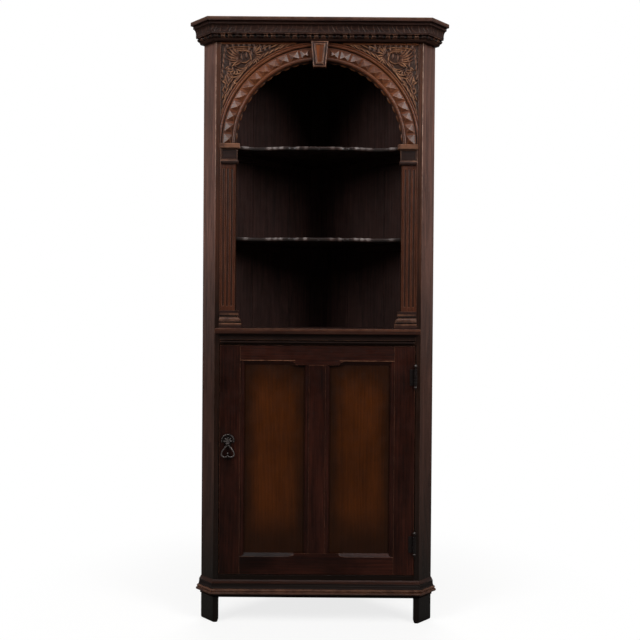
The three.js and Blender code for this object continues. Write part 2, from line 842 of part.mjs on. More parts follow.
function stileOutline(side, withGroove, shift = 0) {
  const flatEdge = doorHalf - stileFlat - shift;
  const inner = stileInner - shift;
  const shape = new THREE.Shape();
  shape.moveTo(side * doorHalf, -shift);
  shape.lineTo(side * flatEdge, -shift);
  shape.lineTo(side * flatEdge, mouldQuirk - shift);
  shape.quadraticCurveTo(side * inner, mouldQuirk - shift, side * inner, grooveFront - shift);
  if (withGroove) {
    shape.lineTo(side * (inner + grooveDepth), grooveFront);
    shape.lineTo(side * (inner + grooveDepth), grooveBack);
    shape.lineTo(side * inner, grooveBack);
  }
  shape.lineTo(side * inner, boardThickness);
  shape.lineTo(side * doorHalf, boardThickness);
  return shape;
}

function doorStile(side) {
  return prism(stileOutline(side, true), doorBottom, doorTop);
}

// A long three-sided cutter for a chamfer that fades out towards the muntin
function chamferCutter(side, edge, size) {
  const direction = Math.sign(size);
  const span = doorHalf - stileFlat - muntinHalf;
  const start = muntinHalf + span * chamferStopShare;
  const fade = span * chamferFadeShare;
  const stations = [];
  for (let i = 0; i <= chamferFadeSteps; i += 1) {
    const turn = (i / chamferFadeSteps) * (Math.PI / 2);
    stations.push([start - fade * Math.cos(turn), Math.sin(turn)]);
  }
  stations.push([doorHalf, 1]);
  const rings = stations.map(([x, share]) => {
    const deep = grooveFront * share + seatGap;
    const high = size * share + direction * seatGap;
    const back = -direction * seatGap;
    const ring = [
      [side * x, -overrun, edge + back], [side * x, deep, edge + back],
      [side * x, -seatGap, edge + high], [side * x, -overrun, edge + high],
    ];
    return side * direction > 0 ? ring : ring.reverse();
  });
  return solid(loft(rings));
}

function doorRail(bottom, top, edge, chamfer) {
  const inner = Math.sign(chamfer) * grooveDepth;
  let rail = solid(box(
    stileFlat - doorHalf, doorHalf - stileFlat, 0, boardThickness, bottom, top,
  ));
  const groove = box(
    -doorHalf, doorHalf, grooveFront, grooveBack,
    Math.min(edge, edge + inner), Math.max(edge, edge + inner),
  );
  rail = rail.subtract(solid(groove));
  for (const side of [-1, 1]) {
    rail = rail.subtract(chamferCutter(side, edge, chamfer));
    const stile = prism(stileOutline(side, false, seatGap), doorBottom - overrun, doorTop + overrun);
    rail = rail.subtract(solid(stile));
  }
  const tenonReach = stileInner + grooveDepth - panelSlack;
  const tenonEdge = edge + inner;
  const tenon = box(
    -tenonReach, tenonReach, panelRecess, panelRecess + panelThickness,
    Math.min(tenonEdge, edge < doorBottom + doorHeight / 2 ? doorBottom : doorTop),
    Math.max(tenonEdge, edge < doorBottom + doorHeight / 2 ? doorBottom : doorTop),
  );
  return geometryOf(rail.add(solid(tenon)));
}

function doorMuntin() {
  const flat = muntinFlat / 2;
  const slot = muntinHalf - grooveDepth;
  const shape = new THREE.Shape();
  shape.moveTo(-flat, 0);
  shape.lineTo(flat, 0);
  shape.lineTo(flat, mouldQuirk);
  shape.quadraticCurveTo(muntinHalf, mouldQuirk, muntinHalf, grooveFront);
  shape.lineTo(slot, grooveFront);
  shape.lineTo(slot, grooveBack);
  shape.lineTo(muntinHalf, grooveBack);
  shape.lineTo(muntinHalf, boardThickness);
  shape.lineTo(-muntinHalf, boardThickness);
  shape.lineTo(-muntinHalf, grooveBack);
  shape.lineTo(-slot, grooveBack);
  shape.lineTo(-slot, grooveFront);
  shape.lineTo(-muntinHalf, grooveFront);
  shape.quadraticCurveTo(-muntinHalf, mouldQuirk, -flat, mouldQuirk);
  const bar = prism(shape, bottomRailTop, topRailBottom);
  const reach = grooveDepth - panelSlack;
  const tenon = box(
    -slot, slot, panelRecess, panelRecess + panelThickness,
    bottomRailTop - reach, topRailBottom + reach,
  );
  return geometryOf(joined([bar, tenon]));
}

function doorPanel(side) {
  const near = muntinHalf - grooveDepth + panelSlack;
  const far = stileInner + grooveDepth - panelSlack;
  const reach = grooveDepth - panelSlack;
  return box(
    Math.min(side * near, side * far), Math.max(side * near, side * far),
    panelRecess, panelRecess + panelThickness, bottomRailTop - reach, topRailBottom + reach,
  );
}

// Hinges: the frame's leaf is in the gap beside the door, the door's leaf lies on its face

function knuckle(index) {
  const pitch = hingeHeight / knuckleCount;
  const shape = new THREE.Shape();
  shape.absarc(0, 0, knuckleRadius, 0, 2 * Math.PI);
  const z0 = -hingeHeight / 2 + index * pitch + knuckleGap / 2;
  const geometry = new THREE.ExtrudeGeometry(shape, {
    depth: pitch - knuckleGap, bevelEnabled: false, curveSegments: roundSegments,
  });
  return geometry.translate(hingeX, hingeY, z0);
}

// Height range of one knuckle, measured from the hinge's middle
function knuckleSpan(index) {
  const pitch = hingeHeight / knuckleCount;
  const z0 = -hingeHeight / 2 + index * pitch + knuckleGap / 2;
  return [z0, z0 + pitch - knuckleGap];
}

function bored(parts, z) {
  const bore = new THREE.CylinderGeometry(
    pinRadius + pinSlack, pinRadius + pinSlack, hingeHeight + overrun, roundSegments,
  );
  bore.rotateX(Math.PI / 2).translate(hingeX, hingeY, 0);
  return geometryOf(joined(parts).subtract(solid(bore))).translate(0, 0, z);
}

function hingeFrameLeaf(z) {
  const x1 = doorwayHalf;
  const x0 = x1 - hingeLeafThickness;
  const parts = [box(x0, x1, 0, frameLeafWidth, -hingeHeight / 2, hingeHeight / 2)];
  for (let i = 0; i < knuckleCount; i += 2) {
    const [low, high] = knuckleSpan(i);
    parts.push(knuckle(i), box(x0, x1, hingeY, leafOverlap, low, high));
  }
  return bored(parts, z);
}

function hingeDoorLeaf(z) {
  const edge = hingeX - knuckleRadius - 2 * seatGap;
  const x0 = edge - doorLeafWidth;
  const parts = [box(x0, edge, -hingeLeafThickness, 0, -hingeHeight / 2, hingeHeight / 2)];
  for (let i = 1; i < knuckleCount; i += 2) {
    const [low, high] = knuckleSpan(i);
    parts.push(knuckle(i));
    parts.push(box(edge - leafOverlap, doorHalf - leafOverlap, -hingeLeafThickness, 0, low, high));
  }
  return bored(parts, z);
}

// Loose pin with a ball above the knuckles and a tapered steeple below them
function hingePin(z) {
  const top = hingeHeight / 2 + knuckleGap;
  const profile = new THREE.Path();
  profile.moveTo(0, -top - steepleLength);
  profile.quadraticCurveTo(steepleRadius, -top - steepleLength / 2, steepleRadius, -top - steepleWaist);
  profile.lineTo(collarRadius, -top);
  profile.lineTo(pinRadius, -top);
  profile.lineTo(pinRadius, top);
  profile.lineTo(collarRadius, top);
  profile.lineTo(collarRadius, top + collarHeight);
  profile.absarc(
    0, top + collarHeight + Math.sqrt(ballRadius ** 2 - collarRadius ** 2), ballRadius,
    -Math.acos(collarRadius / ballRadius), Math.PI / 2,
  );
  const geometry = new THREE.LatheGeometry(profile.getPoints(curveSegments / 2), roundSegments);
  return geometry.rotateX(Math.PI / 2).translate(hingeX, hingeY, z);
}

// Handle: pierced plate with two lugs, a pivot pin and a drop ring

function plateOutline() {
  const shape = new THREE.Shape();
  shape.moveTo(plateRadius, plateRise);
  shape.absarc(0, plateRise, plateRadius, 0, Math.PI);
  shape.absarc(plateEarRadius - plateRadius, plateRise, plateEarRadius, Math.PI, 2 * Math.PI);
  shape.lineTo(-plateWaist, 0);
  shape.quadraticCurveTo(-plateWaist, -plateDrop, 0, -plateDrop);
  shape.quadraticCurveTo(plateWaist, -plateDrop, plateWaist, 0);
  shape.lineTo(plateRadius - 2 * plateEarRadius, plateRise);
  shape.absarc(plateRadius - plateEarRadius, plateRise, plateEarRadius, Math.PI, 2 * Math.PI);
  return shape;
}

function pierce(shape) {
  const sweep = Math.PI * piercingSweepShare;
  for (let i = 0; i < piercingCount; i += 1) {
    const angle = Math.PI / 2 + sweep * (i / (piercingCount - 1) - 1 / 2);
    const hole = new THREE.Path();
    const x = piercingRing * Math.cos(angle);
    const y = plateRise + piercingRing * Math.sin(angle);
    hole.absellipse(x, y, piercingRadius, piercingRadius / 2, 0, 2 * Math.PI, false, angle);
    shape.holes.push(hole);
  }
}

function handlePlate() {
  const shape = plateOutline();
  pierce(shape);
  const parts = [slab(shape, -plateThickness, 0, curveSegments * 2)];
  for (const side of [-1, 1]) {
    const inner = side * (eyeWidth / 2 + eyeSlack);
    const outer = inner + side * lugThickness;
    const [x0, x1] = [Math.min(inner, outer), Math.max(inner, outer)];
    const round = new THREE.CylinderGeometry(lugRadius, lugRadius, lugThickness, roundSegments / 2);
    round.rotateZ(Math.PI / 2).translate((x0 + x1) / 2, -pivotStand, 0);
    parts.push(round);
    parts.push(box(x0, x1, -pivotStand, -plateThickness / 2, -lugRadius, lugRadius));
  }
  const bore = new THREE.CylinderGeometry(
    pivotRadius + eyeSlack, pivotRadius + eyeSlack, 2 * plateRadius, roundSegments,
  );
  bore.rotateZ(Math.PI / 2).translate(0, -pivotStand, 0);
  return geometryOf(joined(parts).subtract(solid(bore))).translate(handleX, 0, handleZ);
}

function handlePivot() {
  const length = eyeWidth + 2 * (eyeSlack + lugThickness);
  const geometry = new THREE.CylinderGeometry(pivotRadius, pivotRadius, length, roundSegments);
  return geometry.rotateZ(Math.PI / 2).translate(handleX, -pivotStand, handleZ);
}

function wireSection() {
  const shape = new THREE.Shape();
  for (let i = 0; i < wireSides; i += 1) {
    const angle = (i / wireSides) * 2 * Math.PI;
    const [x, y] = [wireRadius * Math.cos(angle), wireRadius * Math.sin(angle)];
    if (i === 0) shape.moveTo(x, y);
    else shape.lineTo(x, y);
  }
  return shape;
}

// The ring is a wire bent to an upside-down heart, with a small ball in its cleft
function handleRing() {
  const points = ringShares.map(([across, down]) => new THREE.Vector3(
    across * ringSpread, 0, -down * ringReach,
  ));
  const wire = new THREE.ExtrudeGeometry(wireSection(), {
    steps: ringSteps, bevelEnabled: false, extrudePath: new THREE.CatmullRomCurve3(points),
  });
  const ball = new THREE.SphereGeometry(ringBallRadius, roundSegments / 2, roundSegments / 2);
  ball.translate(0, 0, -ringBallShare * ringReach);
  const neck = new THREE.CylinderGeometry(
    wireRadius / 2, wireRadius, ringReach * (1 - ringBallShare) / 2, roundSegments / 2,
  );
  neck.rotateX(Math.PI / 2).translate(0, 0, -ringReach * (1 + ringBallShare) / 2 * 0.93);
  const eye = new THREE.CylinderGeometry(eyeRadius, eyeRadius, eyeWidth, roundSegments);
  eye.rotateZ(Math.PI / 2);
  const bore = new THREE.CylinderGeometry(
    pivotRadius + eyeSlack, pivotRadius + eyeSlack, 2 * eyeWidth, roundSegments,
  );
  bore.rotateZ(Math.PI / 2);
  const ring = joined([wire, ball, neck, eye]).subtract(solid(bore));
  return geometryOf(ring).translate(handleX, -pivotStand, handleZ);
}

// Catch under the inner shelf, and its strike on the back of the door

function catchBody() {
  const middle = catchInset - doorHalf;
  const front = boardThickness + strikeThickness + seatGap;
  return box(
    middle - catchWidth / 2, middle + catchWidth / 2, front, front + catchDepth,
    cupboardShelfBottom - catchHeight, cupboardShelfBottom,
  );
}

function catchStrike() {
  const middle = catchInset - doorHalf;
  const centre = cupboardShelfBottom - catchHeight / 2;
  return box(
    middle - strikeWidth / 2, middle + strikeWidth / 2,
    boardThickness, boardThickness + strikeThickness,
    centre - strikeHeight / 2, centre + strikeHeight / 2,
  );
}

// The whole piece

function buildSide(side) {
  const word = side > 0 ? 'right' : 'left';
  const group = new THREE.Group();
  group.position.set(side * faceHalf, frontY, 0);
  group.rotation.z = side * Math.PI / 4;
  add(group, `side_stile_${word}`, sideStile(side), 'oakSide');
  add(group, `back_wall_${word}`, wall(side), 'oakInside');
  add(group, `base_moulding_${word}`, sideRun(skirtProfile(seatGap), side), 'oakSide');
  add(group, `cornice_${word}`, sideRun(corniceProfile(seatGap), side), 'oakSide');
  const carried = {
    upper_shelf: upperShelfTop - shelfThickness,
    lower_shelf: lowerShelfTop - shelfThickness,
    display_floor: displayFloorBottom,
    cupboard_shelf: cupboardShelfBottom,
    cupboard_floor: cupboardFloorTop - cupboardFloorThickness,
  };
  for (const [board, top] of Object.entries(carried)) {
    add(group, `${board}_cleat_${word}`, cleat(side, top), 'oakInside');
  }
  return group;
}

function buildCarcase() {
  const group = new THREE.Group();
  for (const [side, word] of [[-1, 'left'], [1, 'right']]) {
    add(group, `face_stile_${word}`, faceStile(side), 'oakDark');
    add(group, `upper_stile_${word}`, upperStile(side), 'oakDark');
    add(group, `pilaster_${word}`, pilaster(side), 'oakWarm');
    add(group, `capital_${word}`, capital(side), 'oakAmber');
    add(group, `pilaster_base_${word}`, pilasterBase(side), 'oakAmber');
  }
  add(group, 'rear_post', rearPost(), 'oakInside');
  add(group, 'top_board', topBoard(), 'oakDark');
  add(group, 'arch_board', archBoard(), 'oakDark');
  add(group, 'keystone', keystone(), 'oakAmber');
  add(group, 'upper_shelf', shapedShelf(upperShelfTop), 'oakDark');
  add(group, 'lower_shelf', shapedShelf(lowerShelfTop), 'oakDark');
  add(group, 'display_floor', displayFloor(), 'oakInside');
  const waistRail = box(
    -doorwayHalf, doorwayHalf, 0, boardThickness, waistRailBottom, displayFloorBottom,
  );
  add(group, 'waist_rail', waistRail, 'oakDark');
  add(group, 'waist_moulding', waistMoulding(), 'oakDark');
  const inner = plainShelf(cupboardShelfSetback, cupboardShelfBottom, cupboardShelfTop);
  add(group, 'cupboard_shelf', inner, 'oakInside');
  const floorBottom = cupboardFloorTop - cupboardFloorThickness;
  add(group, 'cupboard_floor', plainShelf(boardThickness, floorBottom, cupboardFloorTop), 'oakInside');
  const bottomRail = box(
    -doorwayHalf, doorwayHalf, 0, boardThickness, footHeight, cupboardFloorTop,
  );
  add(group, 'bottom_rail', bottomRail, 'oakDark');
  add(group, 'base_moulding_front', frontRun(skirtProfile(0)), 'oakDark');
  add(group, 'cornice_front', frontRun(corniceProfile(0)), 'oakDark');
  add(group, 'catch_body', catchBody(), 'steel');
  for (const [word, z] of [['upper', upperHingeZ], ['lower', lowerHingeZ]]) {
    add(group, `${word}_hinge_frame_leaf`, hingeFrameLeaf(z), 'steel');
    add(group, `${word}_hinge_pin`, hingePin(z), 'steel');
  }
  return group;
}

function buildDoor() {
  const group = new THREE.Group();
  add(group, 'door_stile_handle', doorStile(-1), 'oakDark');
  add(group, 'door_stile_hinge', doorStile(1), 'oakDark');
  const topRail = doorRail(topRailBottom, doorTop, topRailBottom, topChamfer);
  add(group, 'door_top_rail', topRail, 'oakDark');
  const bottomRail = doorRail(doorBottom, bottomRailTop, bottomRailTop, -bottomChamfer);
  add(group, 'door_bottom_rail', bottomRail, 'oakDark');
  add(group, 'door_muntin', doorMuntin(), 'oakDark');
  add(group, 'door_panel_left', doorPanel(-1), 'oakPanel');
  add(group, 'door_panel_right', doorPanel(1), 'oakPanel');
  add(group, 'upper_hinge_door_leaf', hingeDoorLeaf(upperHingeZ), 'steel');
  add(group, 'lower_hinge_door_leaf', hingeDoorLeaf(lowerHingeZ), 'steel');
  add(group, 'handle_plate', handlePlate(), 'iron');
  add(group, 'handle_pivot', handlePivot(), 'iron');
  add(group, 'handle_ring', handleRing(), 'iron');
  add(group, 'catch_strike', catchStrike(), 'steel');
  return group;
}

function buildCupboard() {
  const front = new THREE.Group();
  front.position.y = frontY;
  front.add(buildCarcase(), buildDoor());
  const cupboard = new THREE.Group();
  cupboard.add(front, buildSide(-1), buildSide(1));
  return cupboard;
}

export default buildCupboard();
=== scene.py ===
"""Looks of a carved oak corner cupboard: waxed and worn boards, carving, ironwork and studio.

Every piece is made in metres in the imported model's own frame: +Z is up, the front faces -Y and
the origin lies on the floor. The panel in the 3D view's sidebar has the sizes and colours.
"""

import math
import random

import bmesh
import bpy
from mathutils import Matrix, Vector


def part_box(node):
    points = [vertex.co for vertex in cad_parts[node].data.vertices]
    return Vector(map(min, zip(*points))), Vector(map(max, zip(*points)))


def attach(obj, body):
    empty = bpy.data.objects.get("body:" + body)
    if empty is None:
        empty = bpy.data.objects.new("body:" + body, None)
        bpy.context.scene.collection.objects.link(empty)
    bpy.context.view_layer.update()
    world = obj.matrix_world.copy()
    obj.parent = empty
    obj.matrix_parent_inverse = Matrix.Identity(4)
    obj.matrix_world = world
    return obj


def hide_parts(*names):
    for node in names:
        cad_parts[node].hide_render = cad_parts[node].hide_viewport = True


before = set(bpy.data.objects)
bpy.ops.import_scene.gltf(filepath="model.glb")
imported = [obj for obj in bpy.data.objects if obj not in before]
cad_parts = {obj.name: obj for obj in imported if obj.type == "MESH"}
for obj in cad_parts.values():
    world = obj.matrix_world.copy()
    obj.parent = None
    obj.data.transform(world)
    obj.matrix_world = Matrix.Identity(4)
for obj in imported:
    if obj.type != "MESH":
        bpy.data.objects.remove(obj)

bl_info = {
    "name": "Carved Corner Cupboard",
    "version": (1, 0, 0),
    "blender": (4, 5, 0),
    "location": "View3D > Sidebar > Cupboard",
    "description": "Finishes a packed oak corner cupboard: boards, carving, ironwork and studio",
    "category": "Object",
}

MM = 0.001
WELD = 0.00001
QUARTER = math.pi / 2
EIGHTH = math.pi / 4
SIDES = {"left": -1, "right": 1}

# Places that the model gives
FACE_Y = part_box("waist_rail")[0].y
FACE_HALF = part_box("face_stile_right")[1].x
DOORWAY_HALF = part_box("arch_board")[1].x
CORNICE_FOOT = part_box("cornice_front")[0].z
CORNICE_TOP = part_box("cornice_front")[1].z
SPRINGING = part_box("arch_board")[0].z
ARCH_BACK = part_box("arch_board")[1].y
CANT_RUN = (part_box("side_stile_right")[1].x - FACE_HALF) * math.sqrt(2)
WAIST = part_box("display_floor")[0].z

# Directions that the grain takes: how a board is turned from standing upright
LIES = {
    "upright": (0, 0, 0),
    "level": (0, QUARTER, 0),
    "rising": (0, QUARTER, EIGHTH),
    "falling": (0, QUARTER, -EIGHTH),
}

# Attribute that the finishes read: up to 1 for rubbed wood and painted highlights, down to -1
# for grime and painted shade
WEAR_AND_PAINTED_LIGHT = "rub"

# Weight of the wax coat, from boards left dry to corners that hands have burnished
GLOSS = {"dry": 0.0, "waxed": 0.03, "polished": 0.2, "burnished": 0.25}

# Heights between which the painted highlight on the corner stiles' arrises goes from faint to full
ARRIS_HIGHLIGHT_FROM = 1.15
ARRIS_HIGHLIGHT_TO = 1.5

# Level bands of mouldings and blocks: their tops in millimetres, and their painted light (above 0)
# and painted shade (below 0)
WAIST_PAINTED_LIGHT_AND_SHADE = ((26, -0.85), (37, -0.35), (45, 0.12))
SKIRT_PAINTED_LIGHT_AND_SHADE = ((12, -0.6), (20.5, 0.22), (27.5, 0.42), (42.5, -1.0), (52, -0.08))
CAPITAL_PAINTED_LIGHT_AND_SHADE = ((8, -0.3), (13, 0.3), (44, -0.35), (61, 0.42))
BASE_PAINTED_LIGHT_AND_SHADE = (
    (5, -0.1), (11, 0.05), (15, 0.35), (21, -0.7), (33, 0.25), (39, -0.9), (44, 0.3), (53, -0.2),
)
# Painted shade low down, standing in for the lamps' falloff: heights between which it deepens,
# and how dark it gets at the waist and the feet
ABOVE_WAIST = WAIST + 0.29
UNDER_WAIST = WAIST + 0.04
ABOVE_FEET = 0.6
PAINTED_SHADE_LOW = {"oak_frame": (0.95, 0.4), "oak_side": (0.6, 0.8), "oak_moulding": (0.0, 0.6)}


def linear(level):
    """A screen colour level from 0 to 255 as the light it stands for."""
    share = level / 255
    return share / 12.92 if share <= 0.04045 else ((share + 0.055) / 1.055) ** 2.4


def shade(red, green, blue):
    """A screen colour as the shaders take it."""
    return tuple(linear(level) for level in (red, green, blue))


def stain(name, description, colour):
    """A colour that a user may change."""
    return bpy.props.FloatVectorProperty(
        name=name, description=description, subtype="COLOR", size=3, min=0, max=1,
        default=shade(*colour),
    )


def length(name, description, millimetres):
    """A length that a user may change."""
    return bpy.props.FloatProperty(
        name=name, description=description, unit="LENGTH", min=0, precision=4,
        default=millimetres * MM,
    )


def share(name, description, value):
    """A share from nothing to all that a user may change."""
    return bpy.props.FloatProperty(
        name=name, description=description, subtype="FACTOR", min=0, max=1, default=value,
    )


class OakStains(bpy.types.PropertyGroup):
    """The colour of each board under the wax."""

    oak_frame: stain("Frame", "Face stiles, rails and top board", (62, 35, 23))
    # The canted sides are paler and greyer than the frame, partly as a painted sheen
    oak_side: stain("Canted sides", "The two canted corner boards", (90, 63, 55))
    oak_cornice: stain("Cornice", "Crowning moulding", (44, 27, 22))
    oak_arch: stain("Arch", "Arch board and its carving", (88, 48, 29))
    oak_foliage: stain("Foliage", "The carved foliage and its ground", (74, 44, 29))
    oak_pilaster: stain("Pilasters", "Fluted shafts", (64, 34, 22))
    oak_amber: stain("Keystone", "The keystone's field", (84, 43, 18))
    oak_moulding: stain("Mouldings", "Waist and base mouldings", (56, 30, 21))
    oak_shelf: stain("Shelves", "Display shelves and floor", (44, 30, 27))
    oak_inside: stain("Inside", "Walls, posts and inner boards", (41, 25, 22))
    oak_door: stain("Door frame", "Stiles, rails and muntin", (40, 17, 11))
    oak_panel: stain("Door panels", "The two sunk panels", (64, 30, 7))
    oak_block: stain("Dark blocks", "Capitals, bases and the keystone's rim", (38, 21, 17))
    # This rubbed colour also paints the light bands of mouldings and blocks, and the highlight
    # line on the door's top rail
    worn: stain("Rubbed arris", "Wood where hands have rubbed the stain away", (142, 98, 74))
    # On the arch this colour also paints the light on its haunches and the highlight line on its
    # bead
    gilded: stain("Rubbed carving", "Golden wood on the carving's crests", (118, 74, 42))
    # The leaves' crests in this colour are worn, and also painted as highlight lines
    golden: stain("Rubbed foliage", "Golden wood on the leaves' crests", (132, 94, 68))
    # Grey colour that paints the glints on the shelves' edges
    silvery: stain("Rubbed shelf", "Greyed polish on the shelves' edges", (130, 120, 116))
    # Pale colour that paints the highlight along the corner stiles' arrises
    bare: stain("Bare arrises", "Corners of the face, rubbed bare", (205, 172, 150))
    # Grime's colour is also the colour of the painted shade: low on the boards, at the arch's
    # crown, in the dark bands of mouldings and blocks, and under the shelves' edges
    grime: stain("Grime", "Old wax and dust in the hollows", (12, 7, 5))


class IronColours(bpy.types.PropertyGroup):
    """The colours of the ironwork."""

    blacking: stain("Blacking", "Iron under its blacking", (27, 21, 20))
    bright: stain("Bright iron", "Iron where the blacking is rubbed off", (120, 111, 108))
    rust: stain("Rust", "Brown bloom in the hollows", (34, 20, 16))


class CarvingSizes(bpy.types.PropertyGroup):
    """The sizes of the arrises and of the carving."""

    arris: length("Arris", "Rounding of the boards' corners", 1.0)
    cove_foot: length("Cove foot", "From the cornice's foot to the foot of its cove", 19.0)
    cove_height: length("Cove height", "Height of the cornice's cove", 21.0)
    cove_pitch: length("Cove pitch", "From one slanting leaf to the next in the cornice", 44.0)
    cove_lean: length("Cove lean", "How far a leaf leans over the cove's height", 10.0)
    cove_cut: length("Cove cut", "How deep the cornice's leaves are cut", 1.6)
    bead_middle: length("Bead middle", "From the cornice's foot to the middle of its bead", 10.5)
    gouge_pitch: length("Gouge pitch", "From one gouge to the next in the cornice's bead", 21.0)
    gouge_width: length("Gouge width", "Width of a gouge", 11.0)
    gouge_cut: length("Gouge cut", "How deep the bead's gouges are cut", 5.0)
    arch_radius: length("Arch radius", "Clear radius of the arch", 248.0)
    bead_width: length("Arch bead", "Width of the bead round the opening", 10.0)
    band_width: length("Arch band", "Width of the band of carved points", 31.0)
    ridge_width: length("Arch ridge", "Width of the plain ridge outside the band", 15.0)
    point_height: length("Point height", "Height of the arch's carved points", 8.0)
    ground: length("Ground", "How deep the foliage's ground is sunk", 2.5)
    border: length("Border", "Width of the plain border over the foliage", 6.0)
    leaf_stand: length("Leaf stand", "How far the leaves stand off their ground", 3.8)


class StageSettings(bpy.types.PropertyGroup):
    """The studio floor and its light."""

    floor: stain("Floor", "Plain pale floor", (242, 241, 239))
    floor_bounce: stain("Floor bounce", "What the floor throws back", (120, 118, 114))
    fill: share("Fill light", "Even light from all round", 0.1)
    key: bpy.props.FloatProperty(
        name="Side lamps", description="Power of each large side lamp", unit="POWER", min=0,
        default=49,
    )
    above: bpy.props.FloatProperty(
        name="Lamp above", description="Power of the lamp over the front", unit="POWER", min=0,
        default=15,
    )
    behind: bpy.props.FloatProperty(
        name="Lamp behind", description="Power of the lamp over the back", unit="POWER", min=0,
        default=60,
    )


# Node helpers


def add(tree, kind, inputs=None, **settings):
    """A node with its settings and inputs; an input that is a socket is linked."""
    node = tree.nodes.new(kind)
    for name, value in settings.items():
        setattr(node, name, value)
    for name, value in (inputs or {}).items():
        if isinstance(value, bpy.types.NodeSocket):
            tree.links.new(value, node.inputs[name])
        else:
            node.inputs[name].default_value = value
    return node


def sums(tree, operation, *values, clamp=False):
    """The result of a Math node."""
    return add(
        tree, "ShaderNodeMath", dict(enumerate(values)), operation=operation, use_clamp=clamp,
    ).outputs[0]


def ramp(tree, value, low, high, start=0.0, end=1.0, smooth=True):
    """A value eased from start to end as it goes from low to high."""
    return add(
        tree, "ShaderNodeMapRange",
        {"Value": value, "From Min": low, "From Max": high, "To Min": start, "To Max": end},
        interpolation_type="SMOOTHSTEP" if smooth else "LINEAR",
    ).outputs["Result"]


def mixed(tree, factor, first, second, blend="MIX"):
    """Two colours mixed by a factor."""
    node = add(
        tree, "ShaderNodeMix", {0: factor, 6: first, 7: second}, data_type="RGBA",
        blend_type=blend,
    )
    return node.outputs[2]


# Figure of the oak: how little the rings change along the grain, how far they sway across
# it, and the shares of streaks against rings, of the rings' relief, of flecks and of pores
RINGS_ALONG = 0.12
RINGS_SWAY = (0.05, 0.05, 0.0)
STREAKS = 0.62
RINGS_RELIEF = 0.3
FLECKS = 0.16
PORES = 0.6
# The figure's darkest and palest wood, as shares of the stain
DEEP = (0.42, 0.38, 0.36, 1)
PALE = (1.45, 1.4, 1.35, 1)
# How much of the wood grime and shading cover, and what grime and rubbing do to its gloss;
# shading is the panels' sprayed shading, and on other boards painted shade low down
GRIME_COVER = 0.85
SHADING_COVER = 0.72
GRIME_DULLS = 0.25
RUBBING_SHINES = 0.1
DRY_ROUGHNESS = 0.4
# How cloudy the stains are, how much of the figure a stain hides, and what rubbing bares, which
# is also the colour of painted highlights, and on the shelves of painted glints
PATCHY = {"oak_door": 0.65}
PATCHY_ELSEWHERE = 0.26
PLAIN = {"oak_panel": 0.55}
WORN = {"oak_arch": "gilded", "oak_foliage": "golden", "oak_shelf": "silvery"}
# Shading of the door's panels: how far it reaches in from the sides and from the ends, how
# far its clear middle lies over the panel's, and how ragged its edge is
SHADED_BESIDE = 0.054
SHADED_ABOVE = 0.14
SHADING_LIFT = 0.02
SHADING_RAGGED = 0.015
# Iron: how much the brown bloom covers and dulls, and how rough it is without
RUST_COVER = 0.7
RUST_DULLS = 0.25
IRON_ROUGHNESS = 0.34
# Relief of each finish's bump, and its shine
OAK_RELIEF = {"Strength": 0.35, "Distance": 0.6 * MM}
OAK_SHINE = {"Specular IOR Level": 0.13, "Coat Roughness": 0.14}
IRON_RELIEF = {"Strength": 0.4, "Distance": 0.5 * MM}
IRON_SHINE = {"Metallic": 0.45, "Specular IOR Level": 0.35}
WHITE = (1, 1, 1, 1)


def noise(tree, vector, waves, along=1.0, detail=3.0, rough=0.5):
    """A noise value, in waves to the metre; along below 1 draws it out along the grain."""
    place = drawn_out(tree, vector, along)
    return add(
        tree, "ShaderNodeTexNoise",
        {"Vector": place, "Scale": waves, "Detail": detail, "Roughness": rough},
    ).outputs["Fac"]


def grouped(tree, name, values):
    """A node group in a tree, with values for its inputs; the group itself is made once."""
    if name not in bpy.data.node_groups:
        inputs, outputs, fill = GROUPS[name]
        made = bpy.data.node_groups.new(name, "ShaderNodeTree")
        for direction, sockets in (("INPUT", inputs), ("OUTPUT", outputs)):
            for label, kind in sockets.items():
                made.interface.new_socket(
                    label, in_out=direction, socket_type=f"NodeSocket{kind}",
                )
        given = made.nodes.new("NodeGroupInput").outputs
        results = fill(made, *given[:len(inputs)])
        add(made, "NodeGroupOutput", dict(zip(outputs, results)))
    return add(tree, "ShaderNodeGroup", values, node_tree=bpy.data.node_groups[name])


def drawn_out(tree, vector, along):
    """A vector that counts a share of the way along the grain, which is its Z."""
    return add(
        tree, "ShaderNodeVectorMath", {0: vector, 1: (1, 1, along)}, operation="MULTIPLY",
    ).outputs[0]


def oak_figure(tree, vector):
    """Growth rings, open pores and ray flecks of a board whose grain runs along Z."""
    slow = drawn_out(tree, vector, RINGS_ALONG)
    sway = add(
        tree, "ShaderNodeTexNoise", {"Vector": slow, "Scale": 9.0, "Detail": 2.0},
    ).outputs["Color"]
    swayed = add(
        tree, "ShaderNodeVectorMath", {0: sway, 1: RINGS_SWAY, 2: slow}, operation="MULTIPLY_ADD",
    ).outputs[0]
    rings = add(
        tree, "ShaderNodeTexWave",
        {"Vector": swayed, "Scale": 36.0, "Distortion": 2.5, "Detail": 3.0, "Detail Scale": 1.2},
        wave_type="RINGS", rings_direction="Z", wave_profile="SAW",
    ).outputs["Fac"]
    streaks = noise(tree, vector, waves=260.0, along=0.035, detail=6.0, rough=0.65)
    streaks = ramp(tree, streaks, low=0.3, high=0.7)
    figure = add(tree, "ShaderNodeMix", {0: STREAKS, 2: rings, 3: streaks}).outputs[0]
    pores = noise(tree, vector, waves=1300.0, along=0.05, detail=2.0)
    in_rings = sums(
        tree, "MULTIPLY", ramp(tree, pores, low=0.56, high=0.68),
        ramp(tree, rings, low=0.9, high=0.1, start=0.35, end=1.0),
    )
    flecks = ramp(tree, noise(tree, vector, waves=150.0, along=0.3), low=0.6, high=0.7)
    height = sums(tree, "SUBTRACT", sums(tree, "MULTIPLY", figure, RINGS_RELIEF), in_rings)
    return figure, in_rings, flecks, height


